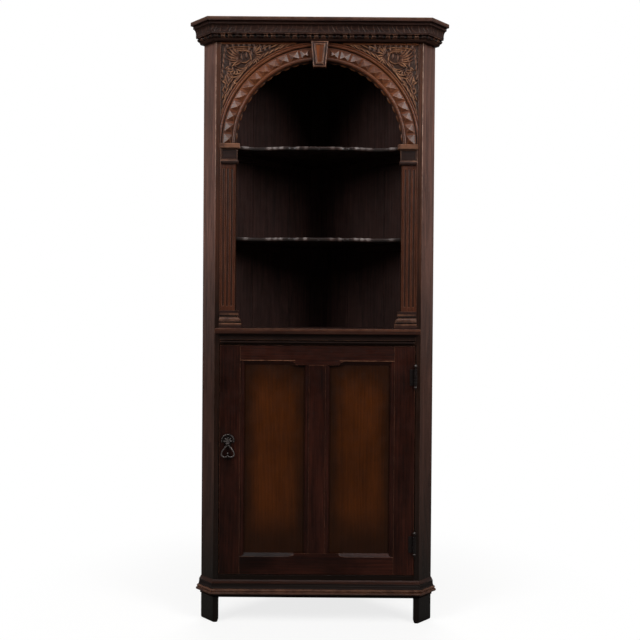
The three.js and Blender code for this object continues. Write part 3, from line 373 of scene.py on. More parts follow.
def waxed_oak(tree, vector, stained, worn, grime, rub, shading, plain, patchy):
    """Stained and waxed oak: paler where rubbed and where highlights are painted, darker in its
    hollows and under painted shade, and uneven all over.
    """
    figure = grouped(tree, "Oak figure", {"Vector": vector}).outputs
    deep = mixed(tree, 1.0, stained, DEEP, "MULTIPLY")
    pale = mixed(tree, 1.0, stained, PALE, "MULTIPLY")
    wood = mixed(tree, figure["Rings"], deep, pale)
    wood = mixed(tree, sums(tree, "MULTIPLY", figure["Flecks"], FLECKS), wood, pale)
    wood = mixed(tree, sums(tree, "MULTIPLY", figure["Pores"], PORES), wood, grime)
    wood = mixed(tree, plain, wood, stained)
    patches = noise(tree, vector, waves=9.0, along=0.4, detail=4.0, rough=0.6)
    uneven = ramp(tree, patches, low=0.25, high=0.75, start=-1.0, end=1.0)
    uneven = sums(tree, "MULTIPLY_ADD", uneven, patchy, 1.0)
    wood = add(
        tree, "ShaderNodeVectorMath", {0: wood, "Scale": uneven}, operation="SCALE",
    ).outputs[0]
    # Rub below 0 is grime and, in places, painted shade; above 0 it is rubbed wood and, in places,
    # a painted highlight
    grimy = sums(tree, "MULTIPLY", rub, -GRIME_COVER, clamp=True)
    wood = mixed(tree, grimy, wood, grime)
    broken = noise(tree, vector, waves=42.0, detail=4.0, rough=0.65)
    broken = ramp(tree, broken, low=0.36, high=0.6, start=0.3, end=1.0)
    rubbed = sums(tree, "MULTIPLY", rub, broken, clamp=True)
    wood = mixed(tree, rubbed, wood, worn)
    # Shading: the panels' sprayed shading, and on other boards painted shade low down
    wood = mixed(tree, sums(tree, "MULTIPLY", shading, SHADING_COVER), wood, grime)
    smears = ramp(tree, noise(tree, vector, waves=30.0), low=0.3, high=0.7, start=0.3, end=0.44)
    roughness = sums(tree, "MULTIPLY_ADD", grimy, GRIME_DULLS, smears)
    roughness = sums(tree, "MULTIPLY_ADD", rubbed, -RUBBING_SHINES, roughness, clamp=True)
    return wood, roughness, figure["Height"]


def panel_shading(tree, vector):
    """Shading sprayed round a door panel: 0 in its middle and 1 along its edges."""
    low, high = panel_opening()
    centre = (low + high) / 2
    half = (high - low) / 2
    across, _, up = add(tree, "ShaderNodeSeparateXYZ", {0: vector}).outputs
    ragged = noise(tree, vector, waves=14.0, detail=2.0)
    ragged = sums(tree, "MULTIPLY_ADD", ragged, 2 * SHADING_RAGGED, -SHADING_RAGGED)
    clear = []
    for place, middle, reach, margin in (
        (sums(tree, "ABSOLUTE", across), centre.x, half.x, SHADED_BESIDE),
        (up, centre.z + SHADING_LIFT, half.z, SHADED_ABOVE),
    ):
        off = sums(tree, "ABSOLUTE", sums(tree, "SUBTRACT", place, middle))
        dark = ramp(tree, sums(tree, "ADD", off, ragged), low=reach - margin, high=reach)
        clear.append(sums(tree, "SUBTRACT", 1.0, dark))
    return (sums(tree, "SUBTRACT", 1.0, sums(tree, "MULTIPLY", *clear)),)


def aged_iron(tree, vector, blacking, bright, rust, rub):
    """Blacked iron: hammered, bright where rubbed and brown in its hollows."""
    dents = noise(tree, vector, waves=320.0, detail=2.0)
    bloom = noise(tree, vector, waves=160.0, detail=4.0, rough=0.7)
    bloom = ramp(tree, bloom, low=0.5, high=0.7)
    metal = mixed(tree, sums(tree, "MULTIPLY", bloom, RUST_COVER), blacking, rust)
    rubbed = sums(tree, "MULTIPLY", rub, ramp(tree, dents, low=0.3, high=0.6), clamp=True)
    metal = mixed(tree, rubbed, metal, bright)
    roughness = sums(tree, "MULTIPLY_ADD", bloom, RUST_DULLS, IRON_ROUGHNESS)
    return metal, roughness, dents


FINISH = {"Color": "Color", "Roughness": "Float", "Height": "Float"}
# Node groups: kinds of their inputs and of their outputs, and the function that fills them
GROUPS = {
    "Oak figure": (
        {"Vector": "Vector"},
        {"Rings": "Float", "Pores": "Float", "Flecks": "Float", "Height": "Float"}, oak_figure,
    ),
    "Waxed oak": (
        {
            "Vector": "Vector", "Stain": "Color", "Worn": "Color", "Grime": "Color",
            "Rub": "Float", "Shading": "Float", "Plain": "Float", "Patchy": "Float",
        },
        FINISH, waxed_oak,
    ),
    "Panel shading": ({"Vector": "Vector"}, {"Shading": "Float"}, panel_shading),
    "Aged iron": (
        {
            "Vector": "Vector", "Blacking": "Color", "Bright": "Color", "Rust": "Color",
            "Rub": "Float",
        },
        FINISH, aged_iron,
    ),
}


def panel_opening():
    """Lowest and highest corner of what shows of the right-hand door panel."""
    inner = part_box("door_muntin")[1].x
    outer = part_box("door_stile_hinge")[0].x
    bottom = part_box("door_bottom_rail")[1].z
    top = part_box("door_top_rail")[0].z
    return Vector((inner, FACE_Y, bottom)), Vector((outer, FACE_Y, top))


def blank_material(name):
    """A new material without nodes, and its tree; None for the tree if the material is there."""
    if name in bpy.data.materials:
        return bpy.data.materials[name], None
    material = bpy.data.materials.new(name)
    material.use_nodes = True
    material.node_tree.nodes.clear()
    return material, material.node_tree


def opaque(colour):
    """A colour as a socket takes it."""
    return (*colour, 1)


def dressed(tree, finish, relief, sockets):
    """Joins a finish to a shader with a bump of some relief, and that to the output."""
    bump = add(tree, "ShaderNodeBump", {"Height": finish.outputs["Height"], **relief})
    surface = add(
        tree, "ShaderNodeBsdfPrincipled",
        {
            "Base Color": finish.outputs["Color"], "Roughness": finish.outputs["Roughness"],
            "Normal": bump.outputs["Normal"], **sockets,
        },
    )
    add(tree, "ShaderNodeOutputMaterial", {"Surface": surface.outputs["BSDF"]})


def oak(slot, lie="upright", gloss="waxed"):
    """The oak of a slot or a stain, with its grain lying one of the ways that a board lies."""
    material, tree = blank_material(f"{slot}_{lie}_{gloss}")
    if tree is None:
        return material
    stains = bpy.context.scene.oak_stains
    # Burnished corners take the colour of their painted arris highlight
    worn = "bare" if gloss == "burnished" else WORN.get(slot, "worn")
    place = add(tree, "ShaderNodeTexCoord").outputs["Object"]
    turned = add(
        tree, "ShaderNodeMapping", {"Vector": place, "Rotation": LIES[lie]},
        vector_type="TEXTURE",
    ).outputs[0]
    finish = grouped(
        tree, "Waxed oak",
        {
            "Vector": turned,
            "Rub": add(tree, "ShaderNodeAttribute", attribute_name=WEAR_AND_PAINTED_LIGHT).outputs["Fac"],
            "Stain": opaque(getattr(stains, slot)), "Worn": opaque(getattr(stains, worn)),
            "Grime": opaque(stains.grime), "Patchy": PATCHY.get(slot, PATCHY_ELSEWHERE),
            "Plain": PLAIN.get(slot, 0.0),
        },
    )
    if slot == "oak_panel":
        burst = grouped(tree, "Panel shading", {"Vector": place})
        tree.links.new(burst.outputs["Shading"], finish.inputs["Shading"])
    # Painted shade that darkens these boards towards the bottom, in place of the lamps' falloff
    elif slot in PAINTED_SHADE_LOW:
        height = add(tree, "ShaderNodeSeparateXYZ", {0: place}).outputs["Z"]
        waist, feet = PAINTED_SHADE_LOW[slot]
        waist = ramp(tree, height, ABOVE_WAIST, UNDER_WAIST, start=0.0, end=waist)
        feet = ramp(tree, height, ABOVE_FEET, 0.0, start=0.0, end=feet)
        tree.links.new(sums(tree, "ADD", waist, feet), finish.inputs["Shading"])
    rough = sums(
        tree, "ADD", finish.outputs["Roughness"], DRY_ROUGHNESS if gloss == "dry" else 0.0,
    )
    shine = {"Roughness": rough, "Coat Weight": GLOSS[gloss], **OAK_SHINE}
    dressed(tree, finish, OAK_RELIEF, shine)
    return material


def iron(slot):
    """The aged iron of a slot."""
    material, tree = blank_material(f"{slot}_aged")
    if tree is None:
        return material
    colours = bpy.context.scene.iron_colours
    finish = grouped(
        tree, "Aged iron",
        {
            "Vector": add(tree, "ShaderNodeTexCoord").outputs["Object"],
            "Rub": add(tree, "ShaderNodeAttribute", attribute_name=WEAR_AND_PAINTED_LIGHT).outputs["Fac"],
            "Blacking": opaque(colours.blacking), "Bright": opaque(colours.bright),
            "Rust": opaque(colours.rust),
        },
    )
    dressed(tree, finish, IRON_RELIEF, IRON_SHINE)
    return material


# Mesh helpers


# Least turn of an edge that is eased, and of a corner that is eased in the cornice's section
SHARP = math.radians(28)
SHARP_SECTION = math.radians(30)
# Turn under which triangles belong to one flat face
FLAT = math.radians(0.5)
# Y of a face's normal under which the face counts as a flat front
FLAT_FRONT = -0.9
# Roundings of the arrises
BAND_ARRIS = 1.6 * MM
FACE_STILE_ARRIS = 1.8 * MM
SIDE_STILE_ARRIS = 1.4 * MM
CORNICE_ARRIS = 0.7 * MM
BORDER_ARRIS = 0.8 * MM
POINT_ARRIS = 0.35 * MM
BLOCK_ARRIS = 2.2 * MM
SHAFT_ARRIS = 0.8 * MM
KEYSTONE_ARRIS = 1.2 * MM
FIELD_ARRIS = 0.5 * MM
FLOOR_ARRIS = 3 * MM
SHELF_ARRIS = 4 * MM
TOP_RAIL_ARRIS = 1.5 * MM
IRON_ARRIS = 0.5 * MM


def traced(node):
    """A CAD node's shape with its loose triangles merged into whole faces."""
    shape = bmesh.new()
    shape.from_mesh(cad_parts[node].data)
    bmesh.ops.remove_doubles(shape, verts=shape.verts[:], dist=WELD)
    bmesh.ops.dissolve_limit(
        shape, angle_limit=FLAT, verts=shape.verts[:], edges=shape.edges[:],
    )
    return shape


def sharp_edges(shape, least, hollow=False):
    """The arrises that turn by more than an angle, or the inner corners if hollow."""
    turn = -1 if hollow else 1
    return [
        edge for edge in shape.edges
        if len(edge.link_faces) == 2 and edge.calc_face_angle_signed(0) * turn > least
    ]


def cut(shape, place, way, **clear):
    """Cuts a whole shape along a plane that faces some way, and gives the cut's parts."""
    return bmesh.ops.bisect_plane(
        shape, geom=shape.verts[:] + shape.edges[:] + shape.faces[:], plane_co=place,
        plane_no=way, **clear,
    )["geom_cut"]


def corners_in(parts):
    """The corners among some parts of a shape."""
    return [part for part in parts if isinstance(part, bmesh.types.BMVert)]


def edges_in(parts):
    """The edges among some parts of a shape."""
    return [part for part in parts if isinstance(part, bmesh.types.BMEdge)]


def outwards(shape):
    """Turns all faces of a closed shape outwards."""
    bmesh.ops.recalc_face_normals(shape, faces=shape.faces[:])


def blank():
    """A new shape, and its layer of how rubbed or grimy each corner is."""
    shape = bmesh.new()
    return shape, shape.verts.layers.float.new(WEAR_AND_PAINTED_LIGHT)


def lump(shape, facets):
    """Adds a ball a metre in radius to a shape, and gives its corners."""
    around, down = facets
    return bmesh.ops.create_uvsphere(shape, u_segments=around, v_segments=down, radius=1)["verts"]


def within(value, low, high):
    """A value held between two others."""
    return max(low, min(high, value))


def swung(shape, ring, centre, axis, angle, steps):
    """Spins a ring of corners, the only ones of a shape, about an axis and closes both ends."""
    edges = shape.edges[:]
    bmesh.ops.contextual_create(shape, geom=edges)
    made = bmesh.ops.spin(
        shape, geom=ring + edges, cent=centre, axis=axis, angle=angle, steps=steps,
    )
    bmesh.ops.contextual_create(shape, geom=edges_in(made["geom_last"]))


def eased(shape, radius, worn=1.0, segments=2):
    """Rounds the arrises and marks them as rubbed, and marks the inner corners as grimy."""
    rub = shape.loops.layers.float.new(WEAR_AND_PAINTED_LIGHT)
    for hollow, mark, offset, rounds in (
        (False, worn, radius, segments), (True, -1.0, radius / 2, 1),
    ):
        edges = sharp_edges(shape, SHARP, hollow)
        if not edges:
            continue
        made = bmesh.ops.bevel(
            shape, geom=edges, offset=offset, offset_type="OFFSET", segments=rounds, profile=0.5,
            affect="EDGES", clamp_overlap=True, material=-1,
        )
        for face in made["faces"]:
            for corner in face.loops:
                corner[rub] = mark
    return shape


def cut_level(shape, heights):
    """Cuts a shape level at each height, and leaves both sides of the cut."""
    for height in heights:
        cut(shape, (0, 0, height), (0, 0, 1))


def toned(shape, tone):
    """Changes each face's wear, grime and painted light and shade at each corner, and gives the
    shape.

    The tone is told the face, the corner's place and its value so far of wear, grime and painted
    light and shade.
    """
    rub = shape.loops.layers.float[WEAR_AND_PAINTED_LIGHT]
    for face in shape.faces:
        for corner in face.loops:
            corner[rub] = tone(face, corner.vert.co, corner[rub])
    return shape


def banded(node, shape, bands, radius=BAND_ARRIS):
    """Eases a shape and paints light and shade on each level band of its faces, by a share of its
    own.

    A band is how high it reaches over the node's foot, in millimetres, and its share of painted
    light (above 0) and painted shade (below 0).
    """
    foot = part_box(node)[0].z
    cut_level(shape, [foot + band[0] * MM for band in bands[:-1]])

    def tone(face, place, now):
        rise = (face.calc_center_median().z - foot) / MM
        # A band's share paints light above 0 and shade below 0; rubbed arrises keep their wear
        return now or next((worn for top, worn in bands if rise < top), 0.0)

    return toned(eased(shape, radius), tone)


def marked(shape, tone):
    """Writes how rubbed or grimy each corner of a carved shape is."""
    rub = shape.verts.layers.float.new(WEAR_AND_PAINTED_LIGHT)
    for corner in shape.verts:
        corner[rub] = tone(corner)
    return shape


def placed(name, held):
    """A new object in the scene, which holds a mesh, a lamp or a lens."""
    made = bpy.data.objects.new(name, held)
    bpy.context.scene.collection.objects.link(made)
    return made


def modelled(shape, name, material):
    """A new object in the scene with a shape as its mesh."""
    mesh = bpy.data.meshes.new(name)
    shape.to_mesh(mesh)
    shape.free()
    mesh.materials.append(material)
    return placed(name, mesh)


def piece(shape, name, body, material, nodes=()):
    """Makes a shape an object that rides on a body, and stands for CAD nodes."""
    for face in shape.faces:
        face.smooth = True
    made = modelled(shape, name, material)
    made.modifiers.new("Even shading", "WEIGHTED_NORMAL")
    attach(made, body)
    if nodes:
        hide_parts(*nodes)
    for node in nodes:
        coat(node, material)


def finished(node, shape, material, body="cabinet"):
    """Makes a shape the finished piece that stands for one CAD node."""
    piece(shape, f"{node}_finished", body, material, [node])


def coat(node, material):
    """Gives a CAD node a material."""
    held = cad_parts[node]
    for place in held.material_slots:
        place.material = material
    if not held.material_slots:
        raise ValueError(f"{node} has no material slot")


def eased_board(node, material, body="cabinet", radius=None, worn=1.0):
    """A CAD board with rounded arrises in its place."""
    arris = bpy.context.scene.carving_sizes.arris if radius is None else radius
    finished(node, eased(traced(node), arris, worn), material, body)


# Operators


# Lamps: place, size, the setting that gives their power, and their share of it
LAMPS = {
    "lamp_left": ((-1.75, -1.75, 2.35), (0.9, 1.5), "key", 1.0),
    "lamp_right": ((1.75, -1.75, 2.35), (0.9, 1.5), "key", 1.12),
    "lamp_above": ((0, -1.15, 3.1), (1.8, 0.6), "above", 1.0),
    "lamp_behind": ((0, 1.9, 3.4), (2.4, 0.8), "behind", 1.0),
}
LAMPS_AIM = Vector((0, FACE_Y, 1.15))
FLOOR_REACH = 14
# Camera: place, how far it looks down, how far it is turned round its view, and its lens
CAMERA_PLACE = (0.0066, -2.57, 0.925)
CAMERA_TILT = math.radians(0.56)
CAMERA_ROLL = math.radians(0.42)
LENS_LENGTH = 45.51
SENSOR_WIDTH = 36


class CUPBOARD_OT_stage(bpy.types.Operator):
    """Lays the floor, lights the studio and sets up the camera"""

    bl_idname = "cupboard.stage"
    bl_label = "Studio"

    def execute(self, context):
        settings = context.scene.stage_settings
        lay_floor(settings)
        light_room(context, settings)
        place_camera(context)
        context.scene.view_settings.view_transform = "Standard"
        return {"FINISHED"}


def lay_floor(settings):
    """A pale floor that keeps the cupboard's shadow and fades to white away from it."""
    shape = bmesh.new()
    bmesh.ops.create_grid(shape, x_segments=1, y_segments=1, size=FLOOR_REACH)
    material, tree = blank_material("floor")
    floor = modelled(shape, "floor", material)
    place = add(tree, "ShaderNodeTexCoord").outputs["Object"]
    away = add(tree, "ShaderNodeVectorMath", {0: place}, operation="LENGTH").outputs["Value"]
    seen = add(tree, "ShaderNodeLightPath").outputs["Is Camera Ray"]
    fade = ramp(tree, away, low=0.35, high=1.1, start=0.8, end=1.0)
    pale = mixed(tree, seen, opaque(settings.floor_bounce), opaque(settings.floor))
    lit = add(tree, "ShaderNodeBsdfDiffuse", {"Color": pale})
    white = add(tree, "ShaderNodeEmission", {"Color": WHITE, "Strength": 1.0})
    both = add(
        tree, "ShaderNodeMixShader",
        {0: sums(tree, "MULTIPLY", seen, fade), 1: lit.outputs[0], 2: white.outputs[0]},
    )
    add(tree, "ShaderNodeOutputMaterial", {"Surface": both.outputs[0]})


def light_room(context, settings):
    """Large soft lamps at both sides, above and behind, and a white room."""
    for name, (place, size, power, part) in LAMPS.items():
        lamp = bpy.data.lights.new(name, "AREA")
        lamp.shape = "RECTANGLE"
        lamp.size, lamp.size_y = size
        lamp.energy = part * getattr(settings, power)
        made = placed(name, lamp)
        made.location = place
        made.rotation_euler = (LAMPS_AIM - Vector(place)).to_track_quat("-Z", "Y").to_euler()
    world = bpy.data.worlds.new("studio")
    world.use_nodes = True
    tree = world.node_tree
    tree.nodes.clear()
    path = add(tree, "ShaderNodeLightPath").outputs
    direction = add(tree, "ShaderNodeTexCoord").outputs["Generated"]
    to_front = add(tree, "ShaderNodeSeparateXYZ", {0: direction}).outputs["Y"]
    backdrop = ramp(tree, to_front, low=-0.2, high=0.6, start=0.04, end=0.6)
    glossy = sums(tree, "MULTIPLY", path["Is Glossy Ray"], backdrop)
    seen = sums(tree, "MAXIMUM", path["Is Camera Ray"], path["Is Transmission Ray"])
    seen = sums(tree, "MAXIMUM", seen, glossy)
    strength = ramp(tree, seen, 0.0, 1.0, start=settings.fill, end=1.0, smooth=False)
    room = add(tree, "ShaderNodeBackground", {"Color": WHITE, "Strength": strength})
    add(tree, "ShaderNodeOutputWorld", {"Surface": room.outputs[0]})
    context.scene.world = world


def place_camera(context):
    """A camera level with the waist, a little turned, as the photograph was taken."""
    lens = bpy.data.cameras.new("camera")
    lens.sensor_width = SENSOR_WIDTH
    lens.lens = LENS_LENGTH
    camera = placed("camera", lens)
    tilt = Matrix.Rotation(QUARTER - CAMERA_TILT, 4, "X")
    roll = Matrix.Rotation(CAMERA_ROLL, 4, "Z")
    camera.matrix_world = Matrix.Translation(CAMERA_PLACE) @ tilt @ roll
    context.scene.camera = camera


# How rubbed the rails' arrises are, and how faint the corner stiles' painted arris highlight gets
RAILS_WORN = 0.3
FAINTEST_ARRIS_HIGHLIGHT = 0.1


class CUPBOARD_OT_carcase(bpy.types.Operator):
    """Finishes the boards of the carcase"""

    bl_idname = "cupboard.carcase"
    bl_label = "Carcase"

    def execute(self, context):
        for word in SIDES:
            corner_stile(f"face_stile_{word}", "oak_frame", FACE_STILE_ARRIS)
            corner_stile(f"side_stile_{word}", "oak_side", SIDE_STILE_ARRIS)
            eased_board(f"upper_stile_{word}", oak("oak_frame"))
        for node in ("waist_rail", "bottom_rail"):
            eased_board(node, oak("oak_frame", "level"), worn=RAILS_WORN)
        coat("top_board", oak("oak_frame", "level", "dry"))
        return {"FINISHED"}


def corner_stile(node, slot, radius):
    """A stile at a front corner, its arrises painted with a highlight that is brighter the higher
    they are.
    """
    shape = traced(node)
    cut_level(shape, (ARRIS_HIGHLIGHT_FROM, ARRIS_HIGHLIGHT_TO))

    def tone(face, place, now):
        # A painted arris highlight, brighter the higher it is
        rise = within((place.z - ARRIS_HIGHLIGHT_FROM) / (ARRIS_HIGHLIGHT_TO - ARRIS_HIGHLIGHT_FROM), 0, 1)
        return FAINTEST_ARRIS_HIGHLIGHT + (1 - FAINTEST_ARRIS_HIGHLIGHT) * rise if now > 0 else now

    finished(node, toned(eased(shape, radius), tone), oak(slot, "upright", "burnished"))


class CUPBOARD_OT_inside(bpy.types.Operator):
    """Finishes the walls, the rear post and the boards inside"""

    bl_idname = "cupboard.inside"
    bl_label = "Inside"

    def execute(self, context):
        coat("rear_post", oak("oak_inside", "upright", "dry"))
        for node in ("cupboard_floor", "cupboard_shelf"):
            coat(node, oak("oak_inside", "level", "dry"))
        for word, lie in (("left", "rising"), ("right", "falling")):
            coat(f"back_wall_{word}", oak("oak_inside", "upright", "dry"))
            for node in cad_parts:
                if "cleat" in node and node.endswith(word):
                    coat(node, oak("oak_inside", lie, "dry"))
        return {"FINISHED"}


class CUPBOARD_OT_mouldings(bpy.types.Operator):
    """Finishes the waist moulding and the base moulding"""

    bl_idname = "cupboard.mouldings"
    bl_label = "Mouldings"

    def execute(self, context):
        for node, lie, bands in (
            ("waist_moulding", "level", WAIST_PAINTED_LIGHT_AND_SHADE), ("base_moulding_front", "level", SKIRT_PAINTED_LIGHT_AND_SHADE),
            ("base_moulding_left", "falling", SKIRT_PAINTED_LIGHT_AND_SHADE),
            ("base_moulding_right", "rising", SKIRT_PAINTED_LIGHT_AND_SHADE),
        ):
            shape = banded(node, traced(node), bands)
            finished(node, shape, oak("oak_moulding", lie))
        return {"FINISHED"}


class CUPBOARD_OT_cornice(bpy.types.Operator):
    """Carves the three lengths of the cornice"""

    bl_idname = "cupboard.cornice"
    bl_label = "Cornice"

    def execute(self, context):
        sizes = context.scene.carving_sizes
        carve_length("cornice_front", 0, "level", sizes)
        carve_length("cornice_left", SIDES["left"], "falling", sizes)
        carve_length("cornice_right", SIDES["right"], "rising", sizes)
        return {"FINISHED"}


# Cornice: what lies behind or above its carved front, and how fine its mesh is cut
CARVED_PAST = 14 * MM
CORNICE_PLAIN = 13 * MM
SECTION_STEP = 1.3 * MM
CARVING_STEP = 1.4 * MM
# Its cove: play at its edges, fillet over it, and how rubbed the crown over that is
COVE_PLAY = 0.02
COVE_FILLET = 8 * MM
CROWN_RUBBED = 0.25
# A leaf in the cove: half widths of its strokes, where they lie as shares of the pitch, how
# high they stand next to the rib, and how far they bow or lean
RIB_HALF = 1.7 * MM
VEIN_HALF = 1.3 * MM
TIP_HALF = 1.4 * MM
HOLLOW_HALF = 4.2 * MM
VEIN_SHARE = 0.38
TIP_SHARE = 0.68
VEIN_HEIGHT = 0.75
TIP_HEIGHT = 0.7
VEIN_BOW = 7 * MM
TIP_LEAN = 9 * MM
# How deep its blade lies, what its strokes take off that and the hollow adds, how soon the
# carving runs out at the cove's edges, and how rubbed or grimy each of its parts is
BLADE_CUT = 0.55
CROWN_STANDS = 0.75
HOLLOW_CUT = 0.5
COVE_RUN_OUT = 9
CROWN_TONE = 0.7
HOLLOW_TONE = 0.9
BLADE_TONE = 0.2
# The bead: half its height and half a gouge's, the nicks between gouges, how soon a cut gets
# grimy, how rubbed the rest is, and how quickly that changes along it
BEAD_HALF = 5.5 * MM
GOUGE_HALF_HEIGHT = 5.2 * MM
NICK_SHARE = 0.42
NICK_HALF = 1.2 * MM
NICK_DEPTH = 0.3
CUT_GRIMY = 3
BEAD_RUBBED = 0.3
BEAD_UNEVEN = 97


def cornice_section(shape):
    """The cornice's section at its middle, as a ring of edges cut fine enough to carve."""
    shape.from_mesh(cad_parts["cornice_front"].data)
    bmesh.ops.remove_doubles(shape, verts=shape.verts[:], dist=WELD)
    cut(shape, (0, 0, 0), (1, 0, 0), clear_inner=True, clear_outer=True)
    bmesh.ops.dissolve_limit(
        shape, angle_limit=math.radians(1), verts=shape.verts[:], edges=shape.edges[:],
    )
    corners = [corner for corner in shape.verts if bend(corner) > SHARP_SECTION]
    bmesh.ops.bevel(
        shape, geom=corners, offset=CORNICE_ARRIS, offset_type="OFFSET", segments=2, profile=0.5,
        affect="VERTICES", clamp_overlap=True, material=-1,
    )
    for edge in shape.edges[:]:
        cuts = int(edge.calc_length() / SECTION_STEP) if edge_shows(edge) else 0
        if cuts:
            bmesh.ops.subdivide_edges(shape, edges=[edge], cuts=cuts)
    return shape.edges[:]


def bend(corner):
    """How far a ring of edges turns at one of its corners."""
    first, second = (edge.other_vert(corner).co - corner.co for edge in corner.link_edges)
    return math.pi - first.angle(second)


def edge_shows(edge):
    """Whether an edge of the cornice's section lies on its carved front."""
    middle = (edge.verts[0].co + edge.verts[1].co) / 2
    return middle.y < FACE_Y - CARVED_PAST and middle.z < CORNICE_TOP - CORNICE_PLAIN


def swept(shape, ring, run, steps):
    """Sweeps a ring of edges along X, closes both ends and cuts the sweep into steps."""
    bmesh.ops.contextual_create(shape, geom=ring)
    made = bmesh.ops.extrude_edge_only(shape, edges=ring)["geom"]
    far = corners_in(made)
    last = [edge for edge in edges_in(made) if all(corner in far for corner in edge.verts)]
    bmesh.ops.translate(shape, verts=far, vec=(run, 0, 0))
    bmesh.ops.contextual_create(shape, geom=last)
    along = [edge for edge in shape.edges if edge.calc_length() > run / 2]
    bmesh.ops.subdivide_edges(shape, edges=along, cuts=steps - 1, use_grid_fill=True)


def carve_length(node, side, lie, sizes):
    """Carves one length of the cornice: the front if side is 0, or else a canted side."""
    shape = bmesh.new()
    ring = cornice_section(shape)
    run = CANT_RUN if side else 2 * FACE_HALF
    swept(shape, ring, run, round(run / CARVING_STEP))
    mitre = math.tan(EIGHTH / 2)
    rub = shape.verts.layers.float.new(WEAR_AND_PAINTED_LIGHT)
    for corner in shape.verts:
        reach = FACE_Y - corner.co.y
        if side:
            start = -reach * mitre
            along = start + corner.co.x / run * (run - start)
            place = FACE_HALF + along
        else:
            along = (corner.co.x / run - 0.5) * (run + 2 * reach * mitre)
            place = along
        depth, corner[rub] = cornice_cut(place, corner.co.z - CORNICE_FOOT, reach, sizes)
        reach -= depth
        if side:
            corner.co.x = side * (FACE_HALF + (along + reach) * math.sqrt(0.5))
            corner.co.y = FACE_Y + (along - reach) * math.sqrt(0.5)
        else:
            corner.co.x = along
            corner.co.y = FACE_Y - reach
    outwards(shape)
    piece(shape, f"{node}_carved", "cabinet", oak("oak_cornice", lie), [node])


def cornice_cut(place, height, reach, sizes):
    """How deep the cornice is cut at a place along it, and how rubbed or grimy it is there."""
    if reach < CARVED_PAST:
        return 0, 0
    climb = (height - sizes.cove_foot) / sizes.cove_height
    if -COVE_PLAY < climb < 1 + COVE_PLAY:
        return leaf_cut(abs(place), climb, sizes)
    if abs(height - sizes.bead_middle) < BEAD_HALF:
        return gouge_cut(abs(place), height, sizes)
    over_cove = height > sizes.cove_foot + sizes.cove_height + COVE_FILLET
    return 0, CROWN_RUBBED if over_cove else 0


def stroke(distance, width):
    """1 on the middle of a carved stroke, falling to 0 at both sides of it."""
    return max(0, 1 - (distance / width) ** 2)


def leaf_cut(place, climb, sizes):
    """The slanting leaves in the cornice's cove: a strong rib, a fine vein and a hollow blade."""
    lean = sizes.cove_lean * climb * climb * (3 - 2 * climb)
    spot = (place + lean) % sizes.cove_pitch
    from_rib = min(spot, sizes.cove_pitch - spot)
    rib = stroke(from_rib, RIB_HALF)
    vein_at = VEIN_SHARE * sizes.cove_pitch - VEIN_BOW * math.sin(math.pi * climb)
    vein = stroke(spot - vein_at, VEIN_HALF) * VEIN_HEIGHT
    tip_at = TIP_SHARE * sizes.cove_pitch + TIP_LEAN * (climb - 0.5)
    tip = stroke(spot - tip_at, TIP_HALF) * TIP_HEIGHT
    crown = max(rib, vein, tip)
    beside = stroke(from_rib, HOLLOW_HALF) * (1 - rib)
    edge = within(min(climb, 1 - climb) * COVE_RUN_OUT, 0, 1)
    depth = sizes.cove_cut * (BLADE_CUT - CROWN_STANDS * crown + HOLLOW_CUT * beside) * edge
    return max(0, depth), (CROWN_TONE * crown - HOLLOW_TONE * beside - BLADE_TONE) * edge


def gouge_cut(place, height, sizes):
    """The gouges in the cornice's bead, each like a lens standing on its edge."""
    spot = (place + sizes.gouge_pitch / 2) % sizes.gouge_pitch - sizes.gouge_pitch / 2
    rise = (height - sizes.bead_middle) / GOUGE_HALF_HEIGHT
    hollow = max(0, 1 - (2 * spot / sizes.gouge_width) ** 2 - rise * rise)
    if hollow > 0:
        return sizes.gouge_cut * math.sqrt(hollow), -min(1, CUT_GRIMY * hollow)
    nick = stroke(abs(spot) - NICK_SHARE * sizes.gouge_pitch, NICK_HALF) * NICK_DEPTH
    nick *= max(0, 1 - rise * rise)
    tone = BEAD_RUBBED * (1 + math.sin(place * BEAD_UNEVEN)) - CUT_GRIMY * nick
    return sizes.gouge_cut * nick, tone


# Arch: how much painted light its haunches get, and how much painted shade its crown
HAUNCH_PAINTED_LIGHT = 0.6
CROWN_PAINTED_SHADE = 0.35
# Its board and its border
ARCH_STEPS = 96
GROUND_GRIMY = -0.75
BORDER_FROM = 70 * MM
BORDER_DEPTH = 4.5 * MM
# Its mouldings: play in the opening, how deep they are let in, and the bead's round
ARCH_PLAY = 0.1 * MM
ARCH_LET_IN = 4 * MM
MOULDING_STEPS = 180
BEAD_STEPS = 8
BEAD_SETBACK = 1 * MM
BEAD_STANDS = 4 * MM
# Each step round the bead, lighter or darker: a painted highlight line on its outer slope, next to
# the band, on a darker body
BEAD_HIGHLIGHT_LINE = (-0.3, -0.3, -0.3, -0.3, -0.3, 0.8, -0.3)
# Sections from the feet of the band and the ridge and from the outer rim: how far out and
# how far off the face a point lies, in millimetres, and how rubbed it is
BAND_SECTION = ((0, 1, -0.6), (0.8, -0.8, -1), (1.8, 0.8, 0))
RIDGE_SECTION = (
    (-2.2, 0.8, 0), (-1, -1.2, -1), (0.6, -1.2, -1), (1.4, 2.4, 0.1), (2.6, 3.9, 0.3),
    (4.6, 4.5, 0), (6.6, 4.1, 0.1), (8, 2.6, 0), (8.8, 0.4, -1), (9.6, 2.2, 0),
)
RIM_SECTION = ((-3.6, 3.4, 0.2), (-1.8, 2.8, 0), (-0.6, 0.8, 0), (0.2, -1.6, -1), (1.2, -4, -1))
